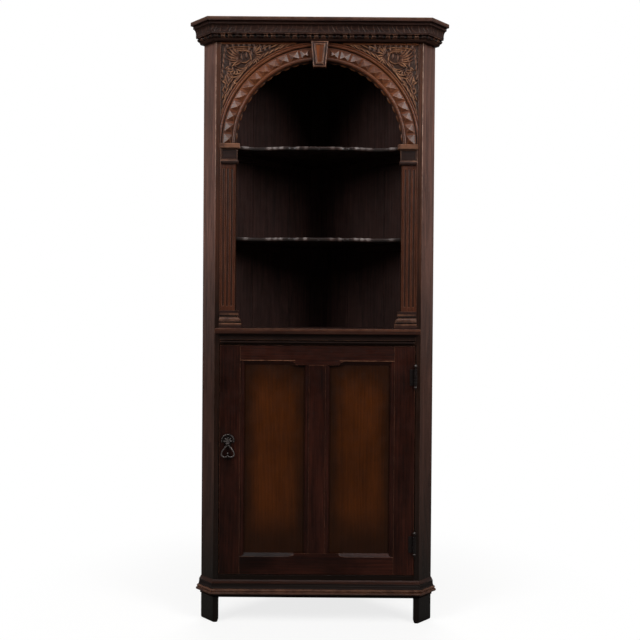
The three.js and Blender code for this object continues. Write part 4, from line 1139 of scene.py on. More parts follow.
# Its points: how many a side has, how wide they are in their pitch, and the seed and ranges
# with which a hand-cut tip slips along and across the band and stands off it
POINTS = 12
POINT_WIDTH = 0.97
POINT_MARGIN = 3.4 * MM
POINT_LET_IN = 0.6 * MM
POINT_FOOT_GRIMY = 0.3
HAND_SEED = 7
TIP_ACROSS = (-0.1, 0.1)
TIP_UP = (-0.26, -0.16)
TIP_STANDS = (0.86, 1)
# Its scallops: the part of each that lies lower than the lip, in half heights, is rubbed
SCALLOP_PITCH = 29 * MM
SCALLOP_WIDTH = 0.42
SCALLOP_HEIGHT = 4.2 * MM
SCALLOP_DEPTH = 3.5 * MM
SCALLOP_LET_IN = 1 * MM
SCALLOP_FROM_BACK = 4 * MM
SCALLOP_RUBBED = 0.8
SCALLOP_LIP = -0.5
SCALLOP_FACETS = (12, 8)


class CUPBOARD_OT_arch(bpy.types.Operator):
    """Carves the arch board with its bead, its band of points and its ridge"""

    bl_idname = "cupboard.arch"
    bl_label = "Arch"

    def execute(self, context):
        sizes = context.scene.carving_sizes
        finish = oak("oak_arch", "level", "polished")
        arch_piece(arch_plate(sizes), "arch_plate", oak("oak_foliage", "level"), ["arch_board"])
        for name, carve in (
            ("arch_border", arch_border), ("arch_mouldings", arch_mouldings),
            ("arch_points", arch_points), ("arch_scallops", arch_scallops),
        ):
            arch_piece(carve(sizes), name, finish)
        return {"FINISHED"}


def arch_piece(shape, name, finish, nodes=()):
    """Makes a shape a piece of the arch."""
    piece(shape, name, "cabinet", finish, nodes)


def on_arch(angle, radius, stand):
    """A place on the arch: an angle from its crown, a radius and how far it stands out."""
    return Vector((radius * math.sin(angle), FACE_Y - stand, SPRINGING + radius * math.cos(angle)))


def painted_light_along_arch(angle):
    """Painted light on the arch at an angle off its crown: brightest halfway down, with painted
    shade at the crown and the feet.
    """
    return HAUNCH_PAINTED_LIGHT * math.sin(2 * angle) ** 2 - CROWN_PAINTED_SHADE


def arch_plate(sizes):
    """The board itself, sunk to the foliage's ground."""
    shape = bmesh.new()
    columns = ARCH_STEPS
    rise = CORNICE_FOOT - SPRINGING
    corner_column = round((0.5 + math.atan2(DOORWAY_HALF, rise) / math.pi) * columns)
    bmesh.ops.create_grid(shape, x_segments=columns, y_segments=1, size=0.5)
    for corner in shape.verts:
        column = round((corner.co.x + 0.5) * columns)
        angle = (column / columns - 0.5) * math.pi
        outer = min(
            DOORWAY_HALF / max(abs(math.sin(angle)), WELD), rise / max(math.cos(angle), WELD),
        )
        place = on_arch(angle, outer, -sizes.ground)
        if column in (corner_column, columns - corner_column):
            place = Vector((math.copysign(DOORWAY_HALF, angle), place.y, CORNICE_FOOT))
        if corner.co.y < 0:
            place = on_arch(angle, sizes.arch_radius, -sizes.ground)
        corner.co = place
    back = corners_in(bmesh.ops.extrude_face_region(shape, geom=shape.faces[:])["geom"])
    depth = ARCH_BACK - FACE_Y - sizes.ground
    bmesh.ops.translate(shape, verts=back, vec=(0, depth, 0))
    outwards(shape)
    return marked(shape, lambda corner: GROUND_GRIMY if corner.co.y < ARCH_BACK - MM else 0)


def arch_border(sizes):
    """The plain border over the foliage, flush with the face and let into the ground."""
    shape = bmesh.new()
    for side in SIDES.values():
        made = bmesh.ops.create_cube(shape, size=1)["verts"]
        start, end = side * BORDER_FROM, side * DOORWAY_HALF
        low, high = CORNICE_FOOT - sizes.border, CORNICE_FOOT
        size = Vector((abs(end - start), BORDER_DEPTH, high - low))
        middle = Vector(((start + end) / 2, FACE_Y + BORDER_DEPTH / 2, (low + high) / 2))
        bmesh.ops.scale(shape, verts=made, vec=size)
        bmesh.ops.translate(shape, verts=made, vec=middle)
    return eased(shape, BORDER_ARRIS)


def arch_mouldings(sizes):
    """The bead, the flat band, the groove and the ridge, turned round the arch."""
    inner = sizes.arch_radius - ARCH_PLAY
    band = inner + sizes.bead_width
    ridge = band + sizes.band_width
    outer = ridge + sizes.ridge_width
    points = [(inner, -ARCH_LET_IN, -1), (inner, BEAD_SETBACK, 0)]
    for i, tone in enumerate(BEAD_HIGHLIGHT_LINE, start=1):
        angle = math.pi * i / BEAD_STEPS
        points.append((
            inner + sizes.bead_width / 2 * (1 - math.cos(angle)),
            BEAD_SETBACK + BEAD_STANDS * math.sin(angle), tone,
        ))
    for foot, section in ((band, BAND_SECTION), (ridge, RIDGE_SECTION), (outer, RIM_SECTION)):
        points += [(foot + out * MM, stand * MM, mark) for out, stand, mark in section]
    shape, rub = blank()
    ring = []
    for radius, stand, mark in points:
        corner = shape.verts.new(on_arch(-QUARTER, radius, stand))
        corner[rub] = mark
        ring.append(corner)
    for pair in zip(ring, ring[1:] + ring[:1]):
        shape.edges.new(pair)
    swung(shape, ring, (0, FACE_Y, SPRINGING), (0, 1, 0), math.pi, MOULDING_STEPS)
    # Painted light on the haunches, painted shade at the crown and the feet
    for corner in shape.verts:
        corner[rub] += painted_light_along_arch(math.atan2(corner.co.x, corner.co.z - SPRINGING))
    outwards(shape)
    trim(shape, (0, 0, CORNICE_FOOT), (0, 0, 1))
    for side in SIDES.values():
        trim(shape, (side * DOORWAY_HALF, 0, 0), (side, 0, 0))
    return shape


def trim(shape, place, outward):
    """Cuts off what lies outside a plane and closes the cut."""
    made = cut(shape, place, outward, clear_outer=True)
    rim = [edge for edge in edges_in(made) if edge.is_boundary]
    bmesh.ops.holes_fill(shape, edges=rim, sides=0)


def arch_points(sizes):
    """The four-sided points along the band, each cut by hand and so a little unlike the next."""
    hand = random.Random(HAND_SEED)
    shape = bmesh.new()
    rub = shape.verts.layers.float.new("along")
    middle = sizes.arch_radius + sizes.bead_width + sizes.band_width / 2
    keystone = math.asin(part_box("keystone")[1].x / middle)
    pitch = (QUARTER - keystone) / POINTS
    for side in SIDES.values():
        for i in range(POINTS):
            angle = side * (keystone + (i + 0.5) * pitch)
            made = bmesh.ops.create_cone(
                shape, cap_ends=True, segments=4, radius1=math.sqrt(0.5), radius2=0, depth=1,
            )["verts"]
            bmesh.ops.rotate(shape, verts=made, matrix=Matrix.Rotation(EIGHTH, 3, "Z"))
            slip = (hand.uniform(*TIP_ACROSS), hand.uniform(*TIP_UP))
            height = sizes.point_height * hand.uniform(*TIP_STANDS)
            for corner in made:
                crown = corner.co.z > 0
                # Painted light and shade by angle, and grime at the point's foot
                corner[rub] = painted_light_along_arch(angle) - (0 if crown else POINT_FOOT_GRIMY)
                across, up = slip if crown else (corner.co.x, corner.co.y)
                corner.co = on_arch(
                    angle + across * pitch * POINT_WIDTH,
                    middle + up * (sizes.band_width - POINT_MARGIN),
                    height if crown else -POINT_LET_IN,
                )
    outwards(shape)
    eased(shape, POINT_ARRIS, segments=1)
    tone = shape.loops.layers.float[WEAR_AND_PAINTED_LIGHT]
    for face in shape.faces:
        for corner in face.loops:
            corner[tone] = corner[tone] or corner.vert[rub]
    return shape


def arch_scallops(sizes):
    """The small scallops along the rear edge of the arch's soffit."""
    shape, rub = blank()
    pitch = SCALLOP_PITCH / sizes.arch_radius
    middle = FACE_Y - ARCH_BACK + SCALLOP_FROM_BACK
    count = int(QUARTER / pitch)
    for i in range(-count, count):
        for corner in lump(shape, SCALLOP_FACETS):
            across, out, up = corner.co
            corner[rub] = SCALLOP_RUBBED if up < SCALLOP_LIP else 0
            corner.co = on_arch(
                (i + 0.5 + across * SCALLOP_WIDTH) * pitch,
                sizes.arch_radius + SCALLOP_LET_IN + up * SCALLOP_HEIGHT,
                out * SCALLOP_DEPTH + middle,
            )
    outwards(shape)
    return shape


class Leaf:
    """One carved leaf: where it springs from, which way it grows and how it curls."""

    def __init__(self, across, up, heading, reach, width, curl=0.0, rise=1.0):
        self.root = Vector((across * MM, SPRINGING + up * MM))
        self.heading = math.radians(heading)
        self.reach = reach * MM
        self.width = width * MM
        self.curl = math.radians(curl)
        self.rise = rise

    def spine(self, along):
        """A place on the leaf's spine and the direction of growth there."""
        turned = self.heading + self.curl * along
        if abs(self.curl) < WELD:
            way = Vector((math.cos(turned), math.sin(turned))) * self.reach * along
        else:
            radius = self.reach / self.curl
            way = radius * Vector((
                math.sin(turned) - math.sin(self.heading),
                math.cos(self.heading) - math.cos(turned),
            ))
        return self.root + way, turned


def between(ends, i, count):
    """The value of the i-th of a count of steps from one end to the other."""
    return ends[0] + (ends[1] - ends[0]) * i / (count - 1)


def whorl(centre, oval, headings, reaches, width, curl, count, rise=1.0):
    """Leaves that stand round a bare oval, their headings and reaches spread evenly."""
    leaves = []
    for i in range(count):
        heading = between(headings, i, count)
        across = centre[0] + oval[0] * math.cos(math.radians(heading))
        up = centre[1] + oval[1] * math.sin(math.radians(heading))
        reach = between(reaches, i, count)
        leaves.append(Leaf(across, up, heading, reach, width, curl, rise))
    return leaves


def row(sizes, angles, out, lean, reaches, width, curl, count, rise=1.0):
    """Leaves between two angles off the crown, some share of the way from ridge to border."""
    ridge = sizes.arch_radius + sizes.bead_width + sizes.band_width + sizes.ridge_width
    leaves = []
    for i in range(count):
        angle = math.radians(between(angles, i, count))
        border = min(
            DOORWAY_HALF / math.sin(angle),
            (CORNICE_FOOT - sizes.border - SPRINGING) / math.cos(angle),
        )
        radius = (ridge + out * (border - ridge)) / MM
        heading = math.degrees(QUARTER - angle) + lean
        leaves.append(Leaf(
            radius * math.sin(angle), radius * math.cos(angle), heading,
            between(reaches, i, count), width, curl, rise,
        ))
    return leaves


def foliage(sizes):
    """The leaves of the right-hand spandrel; the left-hand one mirrors them.

    Places are from the arch's centre outwards and up from its springing, in millimetres, and
    headings turn from outwards to up, in degrees.
    """
    return (
        # small leaves that fill the ground
        *row(sizes, (24, 66), 0.10, 62, (24, 24), 5.6, 40, 17, 0.85),
        *row(sizes, (28, 62), 0.34, 10, (22, 22), 5.8, 60, 15, 0.85),
        *row(sizes, (31, 59), 0.58, 70, (24, 24), 6.0, -50, 13, 0.85),
        *row(sizes, (34, 56), 0.82, 20, (22, 22), 6.2, 50, 12, 0.85),
        # leaves that sweep outwards from the bare oval, over it and on its inner side
        *whorl((221, 257), (15, 9), (30, -58), (60, 40), 6.2, 64, 7, 0.88),
        Leaf(205, 257, -80, 44, 4.6, 130), Leaf(203, 265, 62, 42, 4.4, -112),
        Leaf(196, 270, 24, 62, 5.4, -44), Leaf(203, 279, 12, 66, 5.2, -30),
        Leaf(190, 286, 6, 74, 4.6, -14), Leaf(236, 289, -2, 50, 4.2, -24),
        *whorl((196, 262), (5, 8), (100, 232), (30, 22), 5.0, 42, 7),
        # arcs that hang under the oval, and their scrolls
        Leaf(203, 246, -76, 60, 5.0, 118), Leaf(212, 233, -66, 50, 4.8, 112),
        Leaf(225, 219, -58, 46, 4.8, 104), Leaf(237, 206, -52, 42, 4.8, 110),
        *whorl((250, 224), (6, 5), (-20, -160), (20, 16), 5.0, 60, 5),
        *whorl((281, 213), (5, 7), (110, 250), (20, 20), 4.8, 70, 6),
        # crest of short leaves and the blades under it
        *whorl((265, 176), (8, 4), (160, 20), (24, 24), 5.0, 30, 6),
        *row(sizes, (56, 68), 0.45, 86, (30, 26), 4.2, 6, 5),
        *row(sizes, (58, 66), 0.85, 84, (26, 26), 4.0, 10, 3),
        *row(sizes, (66, 76), 0.35, 88, (30, 22), 3.0, 4, 4),
        # leaves that hug the ridge, and the sprig that tapers towards the keystone
        *row(sizes, (63, 20), 0.04, 68, (28, 30), 5.0, 26, 14),
        *row(sizes, (36, 24), 0.55, 92, (40, 36), 4.8, 6, 4),
        *row(sizes, (33, 26), 0.9, 90, (34, 30), 4.4, 6, 3),
        *row(sizes, (22, 15), 0.5, 90, (30, 26), 3.6, 4, 3),
        # the boldest strokes
        Leaf(203, 246, 96, 26, 4.4, -40, 1.2), Leaf(262, 226, 130, 30, 4.2, 10, 1.2),
        Leaf(243, 188, 120, 36, 4.6, 12, 1.2),
    )


# A carved leaf: clear of the board's edges, half as wide at least, let in and thick
LEAF_MARGIN = 0.3 * MM
LEAST_LEAF = 0.3 * MM
LEAF_LET_IN = 0.4 * MM
LEAF_THICK = 1.2 * MM
# Powers that swell it early along its length, fill its ends and round it across, and how
# high its ends and its sides stand as shares of its middle
SWELLS_EARLY = 0.7
SWELLS_FULL = 0.6
LEAF_ROUND = 0.4
LEAF_ENDS = 0.55
LEAF_SIDES = 0.35
# How light a leaf's crest is, worn and painted as a highlight line, and how grimy its edges are
LEAF_CREST_WEAR_AND_HIGHLIGHT = 2.2
LEAF_GRIMY = 0.95
# Steps along it and across it
LEAF_STEPS = (14, 8)


class CUPBOARD_OT_foliage(bpy.types.Operator):
    """Carves the foliage in the arch's two spandrels"""

    bl_idname = "cupboard.foliage"
    bl_label = "Foliage"

    def execute(self, context):
        sizes = context.scene.carving_sizes
        for word, side in SIDES.items():
            shape, rub = blank()
            for leaf in foliage(sizes):
                carve_leaf(shape, rub, leaf, side, sizes)
            close_backs(shape)
            arch_piece(shape, f"foliage_{word}", oak("oak_foliage", "level"))
        return {"FINISHED"}


def carve_leaf(shape, rub, leaf, side, sizes):
    """Adds a leaf: a blade with a rib along its middle and a dark cut at each side."""
    long, wide = LEAF_STEPS
    made = bmesh.ops.create_grid(shape, x_segments=long, y_segments=wide, size=0.5)["verts"]
    edge = DOORWAY_HALF - LEAF_MARGIN
    top = CORNICE_FOOT - sizes.border - LEAF_MARGIN
    for corner in made:
        along, off = corner.co.x + 0.5, corner.co.y * 2
        (across, up), turned = leaf.spine(along)
        width = leaf.width * math.sin(math.pi * along ** SWELLS_EARLY) ** SWELLS_FULL
        half = max(LEAST_LEAF, width)
        across -= math.sin(turned) * half * off
        up += math.cos(turned) * half * off
        rib = 0.5 + 0.5 * math.cos(math.pi * off)
        swell = LEAF_ENDS + (1 - LEAF_ENDS) * math.sin(math.pi * along)
        crown = max(0, 1 - off * off) ** LEAF_ROUND * swell
        height = sizes.leaf_stand * leaf.rise * crown * (LEAF_SIDES + (1 - LEAF_SIDES) * rib)
        # Crests worn light and painted as highlight lines; edges dark with grime
        tone = LEAF_CREST_WEAR_AND_HIGHLIGHT * (crown * rib * leaf.rise) ** 2 - LEAF_GRIMY
        corner[rub] = within(tone, -1, 1) if across < edge and up < top else -1
        corner.co = Vector((
            side * min(across, edge), FACE_Y + sizes.ground + LEAF_LET_IN - height, min(up, top),
        ))


def close_backs(shape):
    """Closes each open sheet at its back, inside the board."""
    rim = [edge for edge in shape.edges if edge.is_boundary]
    far = corners_in(bmesh.ops.extrude_edge_only(shape, edges=rim)["geom"])
    bmesh.ops.translate(shape, verts=far, vec=(0, LEAF_THICK, 0))
    last = [edge for edge in shape.edges if edge.is_boundary]
    bmesh.ops.holes_fill(shape, edges=last, sides=0)
    outwards(shape)


# Fields sunk in the blocks' fronts: plain margin, width of the slope and depth
KEYSTONE_RIM = (4.6 * MM, 1.4 * MM, 2 * MM)
CAPITAL_PANEL = (4 * MM, 1.2 * MM, 2.5 * MM)
# The keystone's pale field: its margin, thickness, and how far it lies behind the rim
FIELD_MARGIN = 6.2 * MM
FIELD_THICK = 5 * MM
FIELD_SUNK = 1.4 * MM
RIM_WORN = 0.5
FIELD_WORN = 0.2
# Grooves round the pilasters' bases: their heights as shares of the base's
BASE_GROOVES = (0.3, 0.44)
GROOVE_HALF = 1.6 * MM
GROOVE_DEPTH = 2.2 * MM
# Flutes: which way a face that darkens points, how dark it gets, and how soon with depth
FLUTE_FACES = -0.2
FLUTE_GRIMY = 0.8
FLUTE_DARKENS = 0.2 / MM
SHAFT_RUBBED = 0.8


class CUPBOARD_OT_blocks(bpy.types.Operator):
    """Finishes the keystone, the pilasters, their capitals and their bases"""

    bl_idname = "cupboard.blocks"
    bl_label = "Keystone and pilasters"

    def execute(self, context):
        rim = eased(sunk_front("keystone", *KEYSTONE_RIM), KEYSTONE_ARRIS, RIM_WORN)
        for name, shape, stained in (
            ("keystone_rim", rim, "oak_block"), ("keystone_field", keystone_field(), "oak_amber"),
        ):
            finish = oak(stained, "upright", "polished")
            piece(shape, name, "cabinet", finish, ["keystone"])
        for word in SIDES:
            capital, base = f"capital_{word}", f"pilaster_base_{word}"
            turned_block(capital, sunk_front(capital, *CAPITAL_PANEL), CAPITAL_PAINTED_LIGHT_AND_SHADE)
            turned_block(base, grooved(base), BASE_PAINTED_LIGHT_AND_SHADE)
            fluted_shaft(f"pilaster_{word}")
        return {"FINISHED"}


def front_face(shape):
    """A block's largest front face."""
    fronts = (face for face in shape.faces if face.normal.y < FLAT_FRONT)
    return max(fronts, key=lambda face: face.calc_area())


def turned_block(node, shape, bands):
    """A capital or base, flush with the shaft, with painted light and shade in level bands."""
    draw_in(node, shape)
    banded(node, shape, bands, BLOCK_ARRIS)
    finished(node, shape, oak("oak_block", "level", "polished"))


def draw_in(node, shape):
    """Narrows a block from its outer side, until that stands flush with the pilaster's shaft."""
    low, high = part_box(node)
    side = 1 if high.x > 0 else -1
    inner, outer = sorted((abs(low.x), abs(high.x)))
    flush = max(abs(corner.x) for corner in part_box(f"pilaster_{node.split('_')[-1]}"))
    narrowed = (flush - inner) / (outer - inner)
    for corner in shape.verts:
        corner.co.x = side * (inner + (side * corner.co.x - inner) * narrowed)


def fluted_shaft(node):
    """A pilaster's shaft with rubbed arrises and grime in its flutes."""
    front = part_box(node)[0].y

    def tone(face, place, now):
        in_flute = face.normal.y < FLUTE_FACES and now <= 0
        return -min(FLUTE_GRIMY, FLUTE_DARKENS * (place.y - front)) if in_flute else now

    shape = toned(eased(traced(node), SHAFT_ARRIS, SHAFT_RUBBED), tone)
    finished(node, shape, oak("oak_pilaster"))


def sunk_front(node, margin, slope, depth):
    """A block with a field sunk in its front: inside a plain margin, at the foot of a slope."""
    shape = traced(node)
    front = front_face(shape)
    bmesh.ops.inset_region(shape, faces=[front], thickness=margin, depth=0)
    bmesh.ops.inset_region(shape, faces=[front], thickness=slope, depth=-depth)
    return shape


def grooved(node):
    """A pilaster's base with two grooves round its foot."""
    shape = traced(node)
    low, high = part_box(node)
    for height in BASE_GROOVES:
        level = low.z + height * (high.z - low.z)
        for rise, sunk in ((-GROOVE_HALF, 0), (0, GROOVE_DEPTH), (GROOVE_HALF, 0)):
            ring = corners_in(cut(shape, (0, 0, level + rise), (0, 0, 1)))
            front = [corner for corner in ring if corner.co.y < FACE_Y - MM]
            bmesh.ops.translate(shape, verts=front, vec=(0, sunk, 0))
    return shape


def keystone_field():
    """The pale field let into the keystone's rim."""
    shape = traced("keystone")
    front = front_face(shape)
    bmesh.ops.inset_region(shape, faces=[front], thickness=FIELD_MARGIN, depth=0)
    others = [face for face in shape.faces if face is not front]
    bmesh.ops.delete(shape, geom=others, context="FACES")
    back = corners_in(bmesh.ops.extrude_face_region(shape, geom=shape.faces[:])["geom"])
    bmesh.ops.translate(shape, verts=back, vec=(0, FIELD_THICK, 0))
    bmesh.ops.translate(shape, verts=shape.verts[:], vec=(0, FIELD_SUNK, 0))
    outwards(shape)
    return eased(shape, FIELD_ARRIS, FIELD_WORN)


# Shelves: upright cuts over their length, which way their front faces point, how much darker
# they are elsewhere, and the painted shade under their edge
SHELF_SLICES = 96
SHELF_FRONT = -0.15
SHELF_DARKER_ELSEWHERE = -0.4
SHELF_UNDERSIDE_SHADE = 0.9
# Their painted glints: each lobe's middle and half width from the shelf's middle, in millimetres
SHELF_LOBES = ((220, 15), (150, 13), (131, 12), (112, 10), (64, 9), (40, 10))
# How bright the painted glints are, and how much darker the edge is between them
LOBE_GLINT = 1.3
EDGE_DARKER = 0.5


class CUPBOARD_OT_shelves(bpy.types.Operator):
    """Finishes the display floor and carves the edges of the two shelves"""

    bl_idname = "cupboard.shelves"
    bl_label = "Shelves"

    def execute(self, context):
        eased_board("display_floor", oak("oak_shelf", "level"), radius=FLOOR_ARRIS)
        for node in ("lower_shelf", "upper_shelf"):
            finished(node, shelf(node), oak("oak_shelf", "level", "polished"))
        return {"FINISHED"}


def shelf(node):
    """A shelf with a rounded front edge, painted with glints at its lobes and with shade under it.
    """
    shape = eased(traced(node), SHELF_ARRIS, segments=3)
    for i in range(1, SHELF_SLICES):
        cut(shape, (DOORWAY_HALF * (2 * i / SHELF_SLICES - 1), 0, 0), (1, 0, 0))
    middle = sum(corner.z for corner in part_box(node)) / 2

    def tone(face, place, now):
        low = within((middle - place.z) / SHELF_ARRIS, 0, 1)
        # Painted glints on the front edge and painted shade under it; darker on the other faces
        bright = painted_glints(abs(place.x)) - SHELF_UNDERSIDE_SHADE * low
        return bright if face.normal.y < SHELF_FRONT else SHELF_DARKER_ELSEWHERE

    return toned(shape, tone)


def painted_glints(across):
    """How bright the painted glints on a shelf's edge are at a distance from its middle."""
    bright = max(stroke(across - centre * MM, width * MM) for centre, width in SHELF_LOBES)
    return LOBE_GLINT * bright - EDGE_DARKER


# How rubbed the door's frame is, its muntin and its panels
DOOR_WORN = 0.4
MUNTIN_WORN = 1.0
PANELS_WORN = 0.2
# Door's top rail: height of its chamfers, the painted highlight line over them, and where they
# stop
CHAMFER_HEIGHT = 13 * MM
CHAMFER_LINE = 1.5 * MM
CHAMFER_STOP = 0.16
# How bright that painted highlight line is, and how rubbed the rail's arrises are
CHAMFER_HIGHLIGHT = 0.65
TOP_RAIL_RUBBED = 0.8


class CUPBOARD_OT_door(bpy.types.Operator):
    """Finishes the door's frame and its two shaded panels"""

    bl_idname = "cupboard.door"
    bl_label = "Door"

    def execute(self, context):
        for node, lie, worn in (
            ("door_stile_hinge", "upright", DOOR_WORN),
            ("door_stile_handle", "upright", DOOR_WORN),
            ("door_muntin", "upright", MUNTIN_WORN), ("door_bottom_rail", "level", DOOR_WORN),
        ):
            eased_board(node, oak("oak_door", lie), "door", worn=worn)
        top_rail("door_top_rail")
        for word in SIDES:
            node = f"door_panel_{word}"
            eased_board(node, oak("oak_panel"), "door", worn=PANELS_WORN)
        return {"FINISHED"}


def top_rail(node):
    """The door's top rail, with a painted highlight line over its chamfers."""
    shape = traced(node)
    low, high = panel_opening()
    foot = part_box(node)[0].z + CHAMFER_HEIGHT
    start = low.x + CHAMFER_STOP * (high.x - low.x)
    cut_level(shape, (foot, foot + CHAMFER_LINE))
    for side in SIDES.values():
        cut(shape, (side * start, 0, 0), (1, 0, 0))

    def tone(face, place, now):
        middle = face.calc_center_median()
        # A painted highlight line over the chamfers
        on_line = foot < middle.z < foot + CHAMFER_LINE and abs(middle.x) > start
        return CHAMFER_HIGHLIGHT if on_line and face.normal.y < FLAT_FRONT else now

    toned(eased(shape, TOP_RAIL_ARRIS, TOP_RAIL_RUBBED), tone)
    finished(node, shape, oak("oak_door", "level"), "door")


# How rubbed the flat irons are
LEAVES_WORN = 0.15
PLATE_WORN = 0.3
PIVOT_WORN = 0.1
# Hinge pin: steps round it, its height over its solid, and its ends in radii of its ball
PIN_STEPS = 20
PIN_RISE = 5 * MM
BALL_STEPS = 8
BALL_BULGE = 0.7
BALL_RUBBED = 0.4
NECK = 0.45
NECK_TOP = 2.1
NECK_FOOT = 3.6
KNOB = 0.92
KNOB_TOP = 3.5
TIP = 0.4
TIP_TOP = 1.2
# Drop ring: how its rubbing grows towards the hand, its middle and its top
RING_BRIGHT = 0.65
RING_TURNS = 1.3
RING_DULL = 0.2
RING_MIDDLE = 0.3
RING_SIDES = 1.6
RING_TOP = 1.6
# Rim of the handle's plate
RIM_HALF = 1.3 * MM
RIM_MARGIN = 1.8 * MM
RIM_LET_IN = 0.4 * MM
RIM_TURN = math.radians(210)
RIM_STEPS = 36
RIM_SIDES = 8
RIM_RUBBED = 0.5
# Its flower: height on the plate and size of its lumps as shares, and its petals
FLOWER_SHARE = 0.3
FLOWER_STANDS = 2.6 * MM
FLOWER_HALF = 1.7 * MM
FLOWER_MIDDLE = (0.3, 0.3)
FLOWER_RUBBED = 1.2
FLOWER_GRIMY = 0.3
PETALS = 5
PETAL = (0.13, 0.27)
PETAL_OUT = 0.5
PETAL_TURN = math.radians(38)
FLOWER_FACETS = (16, 10)


class CUPBOARD_OT_ironwork(bpy.types.Operator):
    """Finishes the hinges, the handle and the catch"""

    bl_idname = "cupboard.ironwork"
    bl_label = "Ironwork"

    def execute(self, context):
        for node in ("catch_body", "catch_strike"):
            coat(node, iron("catch_steel"))
        for word in ("upper", "lower"):
            for leaf, body in (("frame_leaf", "cabinet"), ("door_leaf", "door")):
                eased_iron(f"{word}_hinge_{leaf}", "hinge_steel", body, LEAVES_WORN)
            hinge_pin(f"{word}_hinge_pin")
        eased_iron("handle_plate", "handle_iron", "door", PLATE_WORN)
        eased_iron("handle_pivot", "handle_iron", "door", PIVOT_WORN)
        plate_rim()
        drop_ring()
        flower_boss()
        return {"FINISHED"}


def eased_iron(node, slot, body, worn):
    """An iron part with softened corners."""
    finished(node, eased(traced(node), IRON_ARRIS, worn), iron(slot), body)


def hinge_pin(node):
    """A hinge's pin: a ball on top, and a smaller ball and a tip underneath."""
    low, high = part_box(node)
    high.z += PIN_RISE
    axis = (low + high) / 2
    ball = (high.x - low.x) / 2
    knob = KNOB * ball
    knob_top = low.z + KNOB_TOP * ball
    turns = [math.pi * i / BALL_STEPS for i in range(1, BALL_STEPS)]
    profile = [(0, high.z)]
    profile += [(ball * math.sin(turn), high.z - ball * (1 - math.cos(turn))) for turn in turns]
    profile += [
        (NECK * ball, high.z - NECK_TOP * ball), (NECK * ball, low.z + NECK_FOOT * ball),
    ]
    profile += [(knob * math.sin(turn), knob_top - knob * (1 - math.cos(turn))) for turn in turns]
    profile += [(TIP * ball, low.z + TIP_TOP * ball), (0, low.z)]
    shape, rub = blank()
    line = []
    for radius, height in profile:
        corner = shape.verts.new((axis.x + radius, axis.y, height))
        corner[rub] = BALL_RUBBED if radius > BALL_BULGE * ball else 0
        line.append(corner)
    edges = [shape.edges.new(pair) for pair in zip(line, line[1:])]
    bmesh.ops.spin(
        shape, geom=line + edges, cent=(axis.x, axis.y, 0), axis=(0, 0, 1), angle=2 * math.pi,
        steps=PIN_STEPS, use_merge=True,
    )
    bmesh.ops.remove_doubles(shape, verts=shape.verts[:], dist=WELD)
    outwards(shape)
    finished(node, shape, iron("hinge_steel"))


def drop_ring():
    """The drop ring, rubbed towards the hand in front, and less in its middle and on top."""
    shape = traced("handle_ring")
    low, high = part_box("handle_ring")
    middle = (low + high) / 2
    reach = (high - low) / 2

    def rubbed(corner):
        """How rubbed a corner of the ring is."""
        across, out, up = (
            (place - centre) / half for place, centre, half in zip(corner.co, middle, reach)
        )
        front = min(RING_BRIGHT, max(0, -out) * RING_TURNS - RING_DULL)
        beside = min(1, RING_MIDDLE + RING_SIDES * abs(across))
        return front * beside * min(1, RING_TOP - up)

    finished("handle_ring", marked(shape, rubbed), iron("handle_iron"), "ring")


def plate_rim():
    """The raised rim round the handle's plate, open under the flower."""
    low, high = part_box("handle_plate")
    reach = (high.x - low.x) / 2
    centre = Vector(((low.x + high.x) / 2, low.y + RIM_LET_IN, high.z - reach))
    shape = bmesh.new()
    ring = bmesh.ops.create_circle(shape, segments=RIM_SIDES, radius=RIM_HALF)["verts"]
    bmesh.ops.translate(shape, verts=ring, vec=(reach - RIM_MARGIN, 0, 0))
    bmesh.ops.rotate(shape, verts=ring, matrix=Matrix.Rotation((RIM_TURN - math.pi) / 2, 3, "Y"))
    swung(shape, ring, (0, 0, 0), (0, -1, 0), RIM_TURN, RIM_STEPS)
    bmesh.ops.translate(shape, verts=shape.verts[:], vec=centre)
    outwards(shape)
    marked(shape, lambda corner: RIM_RUBBED)
    piece(shape, "handle_plate_rim", "door", iron("handle_iron"))


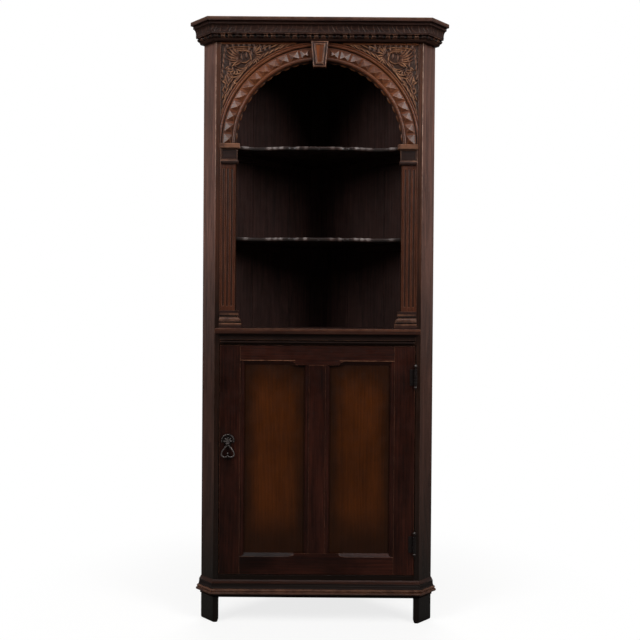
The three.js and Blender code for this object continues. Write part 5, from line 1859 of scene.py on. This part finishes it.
def flower_boss():
    """The flower on the handle's plate: a domed middle with five petals over it."""
    low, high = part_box("handle_plate")
    reach = (high.x - low.x) / 2
    height = low.z + FLOWER_SHARE * (high.z - low.z)
    centre = Vector(((low.x + high.x) / 2, FACE_Y - FLOWER_STANDS, height))
    shape, rub = blank()
    lumps = [(0, 0, *FLOWER_MIDDLE)]
    for i in range(PETALS):
        turn = PETAL_TURN * (i - (PETALS - 1) / 2)
        lumps.append((PETAL_OUT * math.sin(turn), PETAL_OUT * math.cos(turn), *PETAL))
    for across, up, wide, tall in lumps:
        made = lump(shape, FLOWER_FACETS)
        turn = Matrix.Rotation(math.atan2(across, up), 3, "Y")
        bmesh.ops.scale(shape, verts=made, vec=(wide * reach, FLOWER_HALF, tall * reach))
        bmesh.ops.rotate(shape, verts=made, matrix=turn)
        place = centre + Vector((across * reach, 0, up * reach))
        bmesh.ops.translate(shape, verts=made, vec=place)
    for corner in shape.verts:
        out = (centre.y - corner.co.y) / FLOWER_HALF
        corner[rub] = within(FLOWER_RUBBED * out - FLOWER_GRIMY, 0, 1)
    piece(shape, "handle_flower", "door", iron("handle_iron"))


OPERATORS = (
    CUPBOARD_OT_stage, CUPBOARD_OT_carcase, CUPBOARD_OT_inside, CUPBOARD_OT_mouldings,
    CUPBOARD_OT_cornice, CUPBOARD_OT_arch, CUPBOARD_OT_foliage, CUPBOARD_OT_blocks,
    CUPBOARD_OT_shelves, CUPBOARD_OT_door, CUPBOARD_OT_ironwork,
)
SETTINGS = {
    "oak_stains": OakStains,
    "iron_colours": IronColours,
    "carving_sizes": CarvingSizes,
    "stage_settings": StageSettings,
}


class CUPBOARD_PT_panel(bpy.types.Panel):
    """Lists the cupboard's pieces, sizes and colours"""

    bl_idname = "CUPBOARD_PT_panel"
    bl_label = "Corner cupboard"
    bl_space_type = "VIEW_3D"
    bl_region_type = "UI"
    bl_category = "Cupboard"

    def draw(self, context):
        for operator in OPERATORS:
            self.layout.operator(operator.bl_idname)
        for name, settings in SETTINGS.items():
            box = self.layout.box()
            for field in settings.__annotations__:
                box.prop(getattr(context.scene, name), field)


def register():
    for kind in (*SETTINGS.values(), *OPERATORS, CUPBOARD_PT_panel):
        bpy.utils.register_class(kind)
    for name, settings in SETTINGS.items():
        setattr(bpy.types.Scene, name, bpy.props.PointerProperty(type=settings))


def unregister():
    for name in SETTINGS:
        delattr(bpy.types.Scene, name)
    for kind in reversed((*SETTINGS.values(), *OPERATORS, CUPBOARD_PT_panel)):
        bpy.utils.unregister_class(kind)


def main():
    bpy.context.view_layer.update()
    register()
    for operator in OPERATORS:
        family, name = operator.bl_idname.split(".")
        getattr(getattr(bpy.ops, family), name)()


if __name__ == "__main__":
    main()
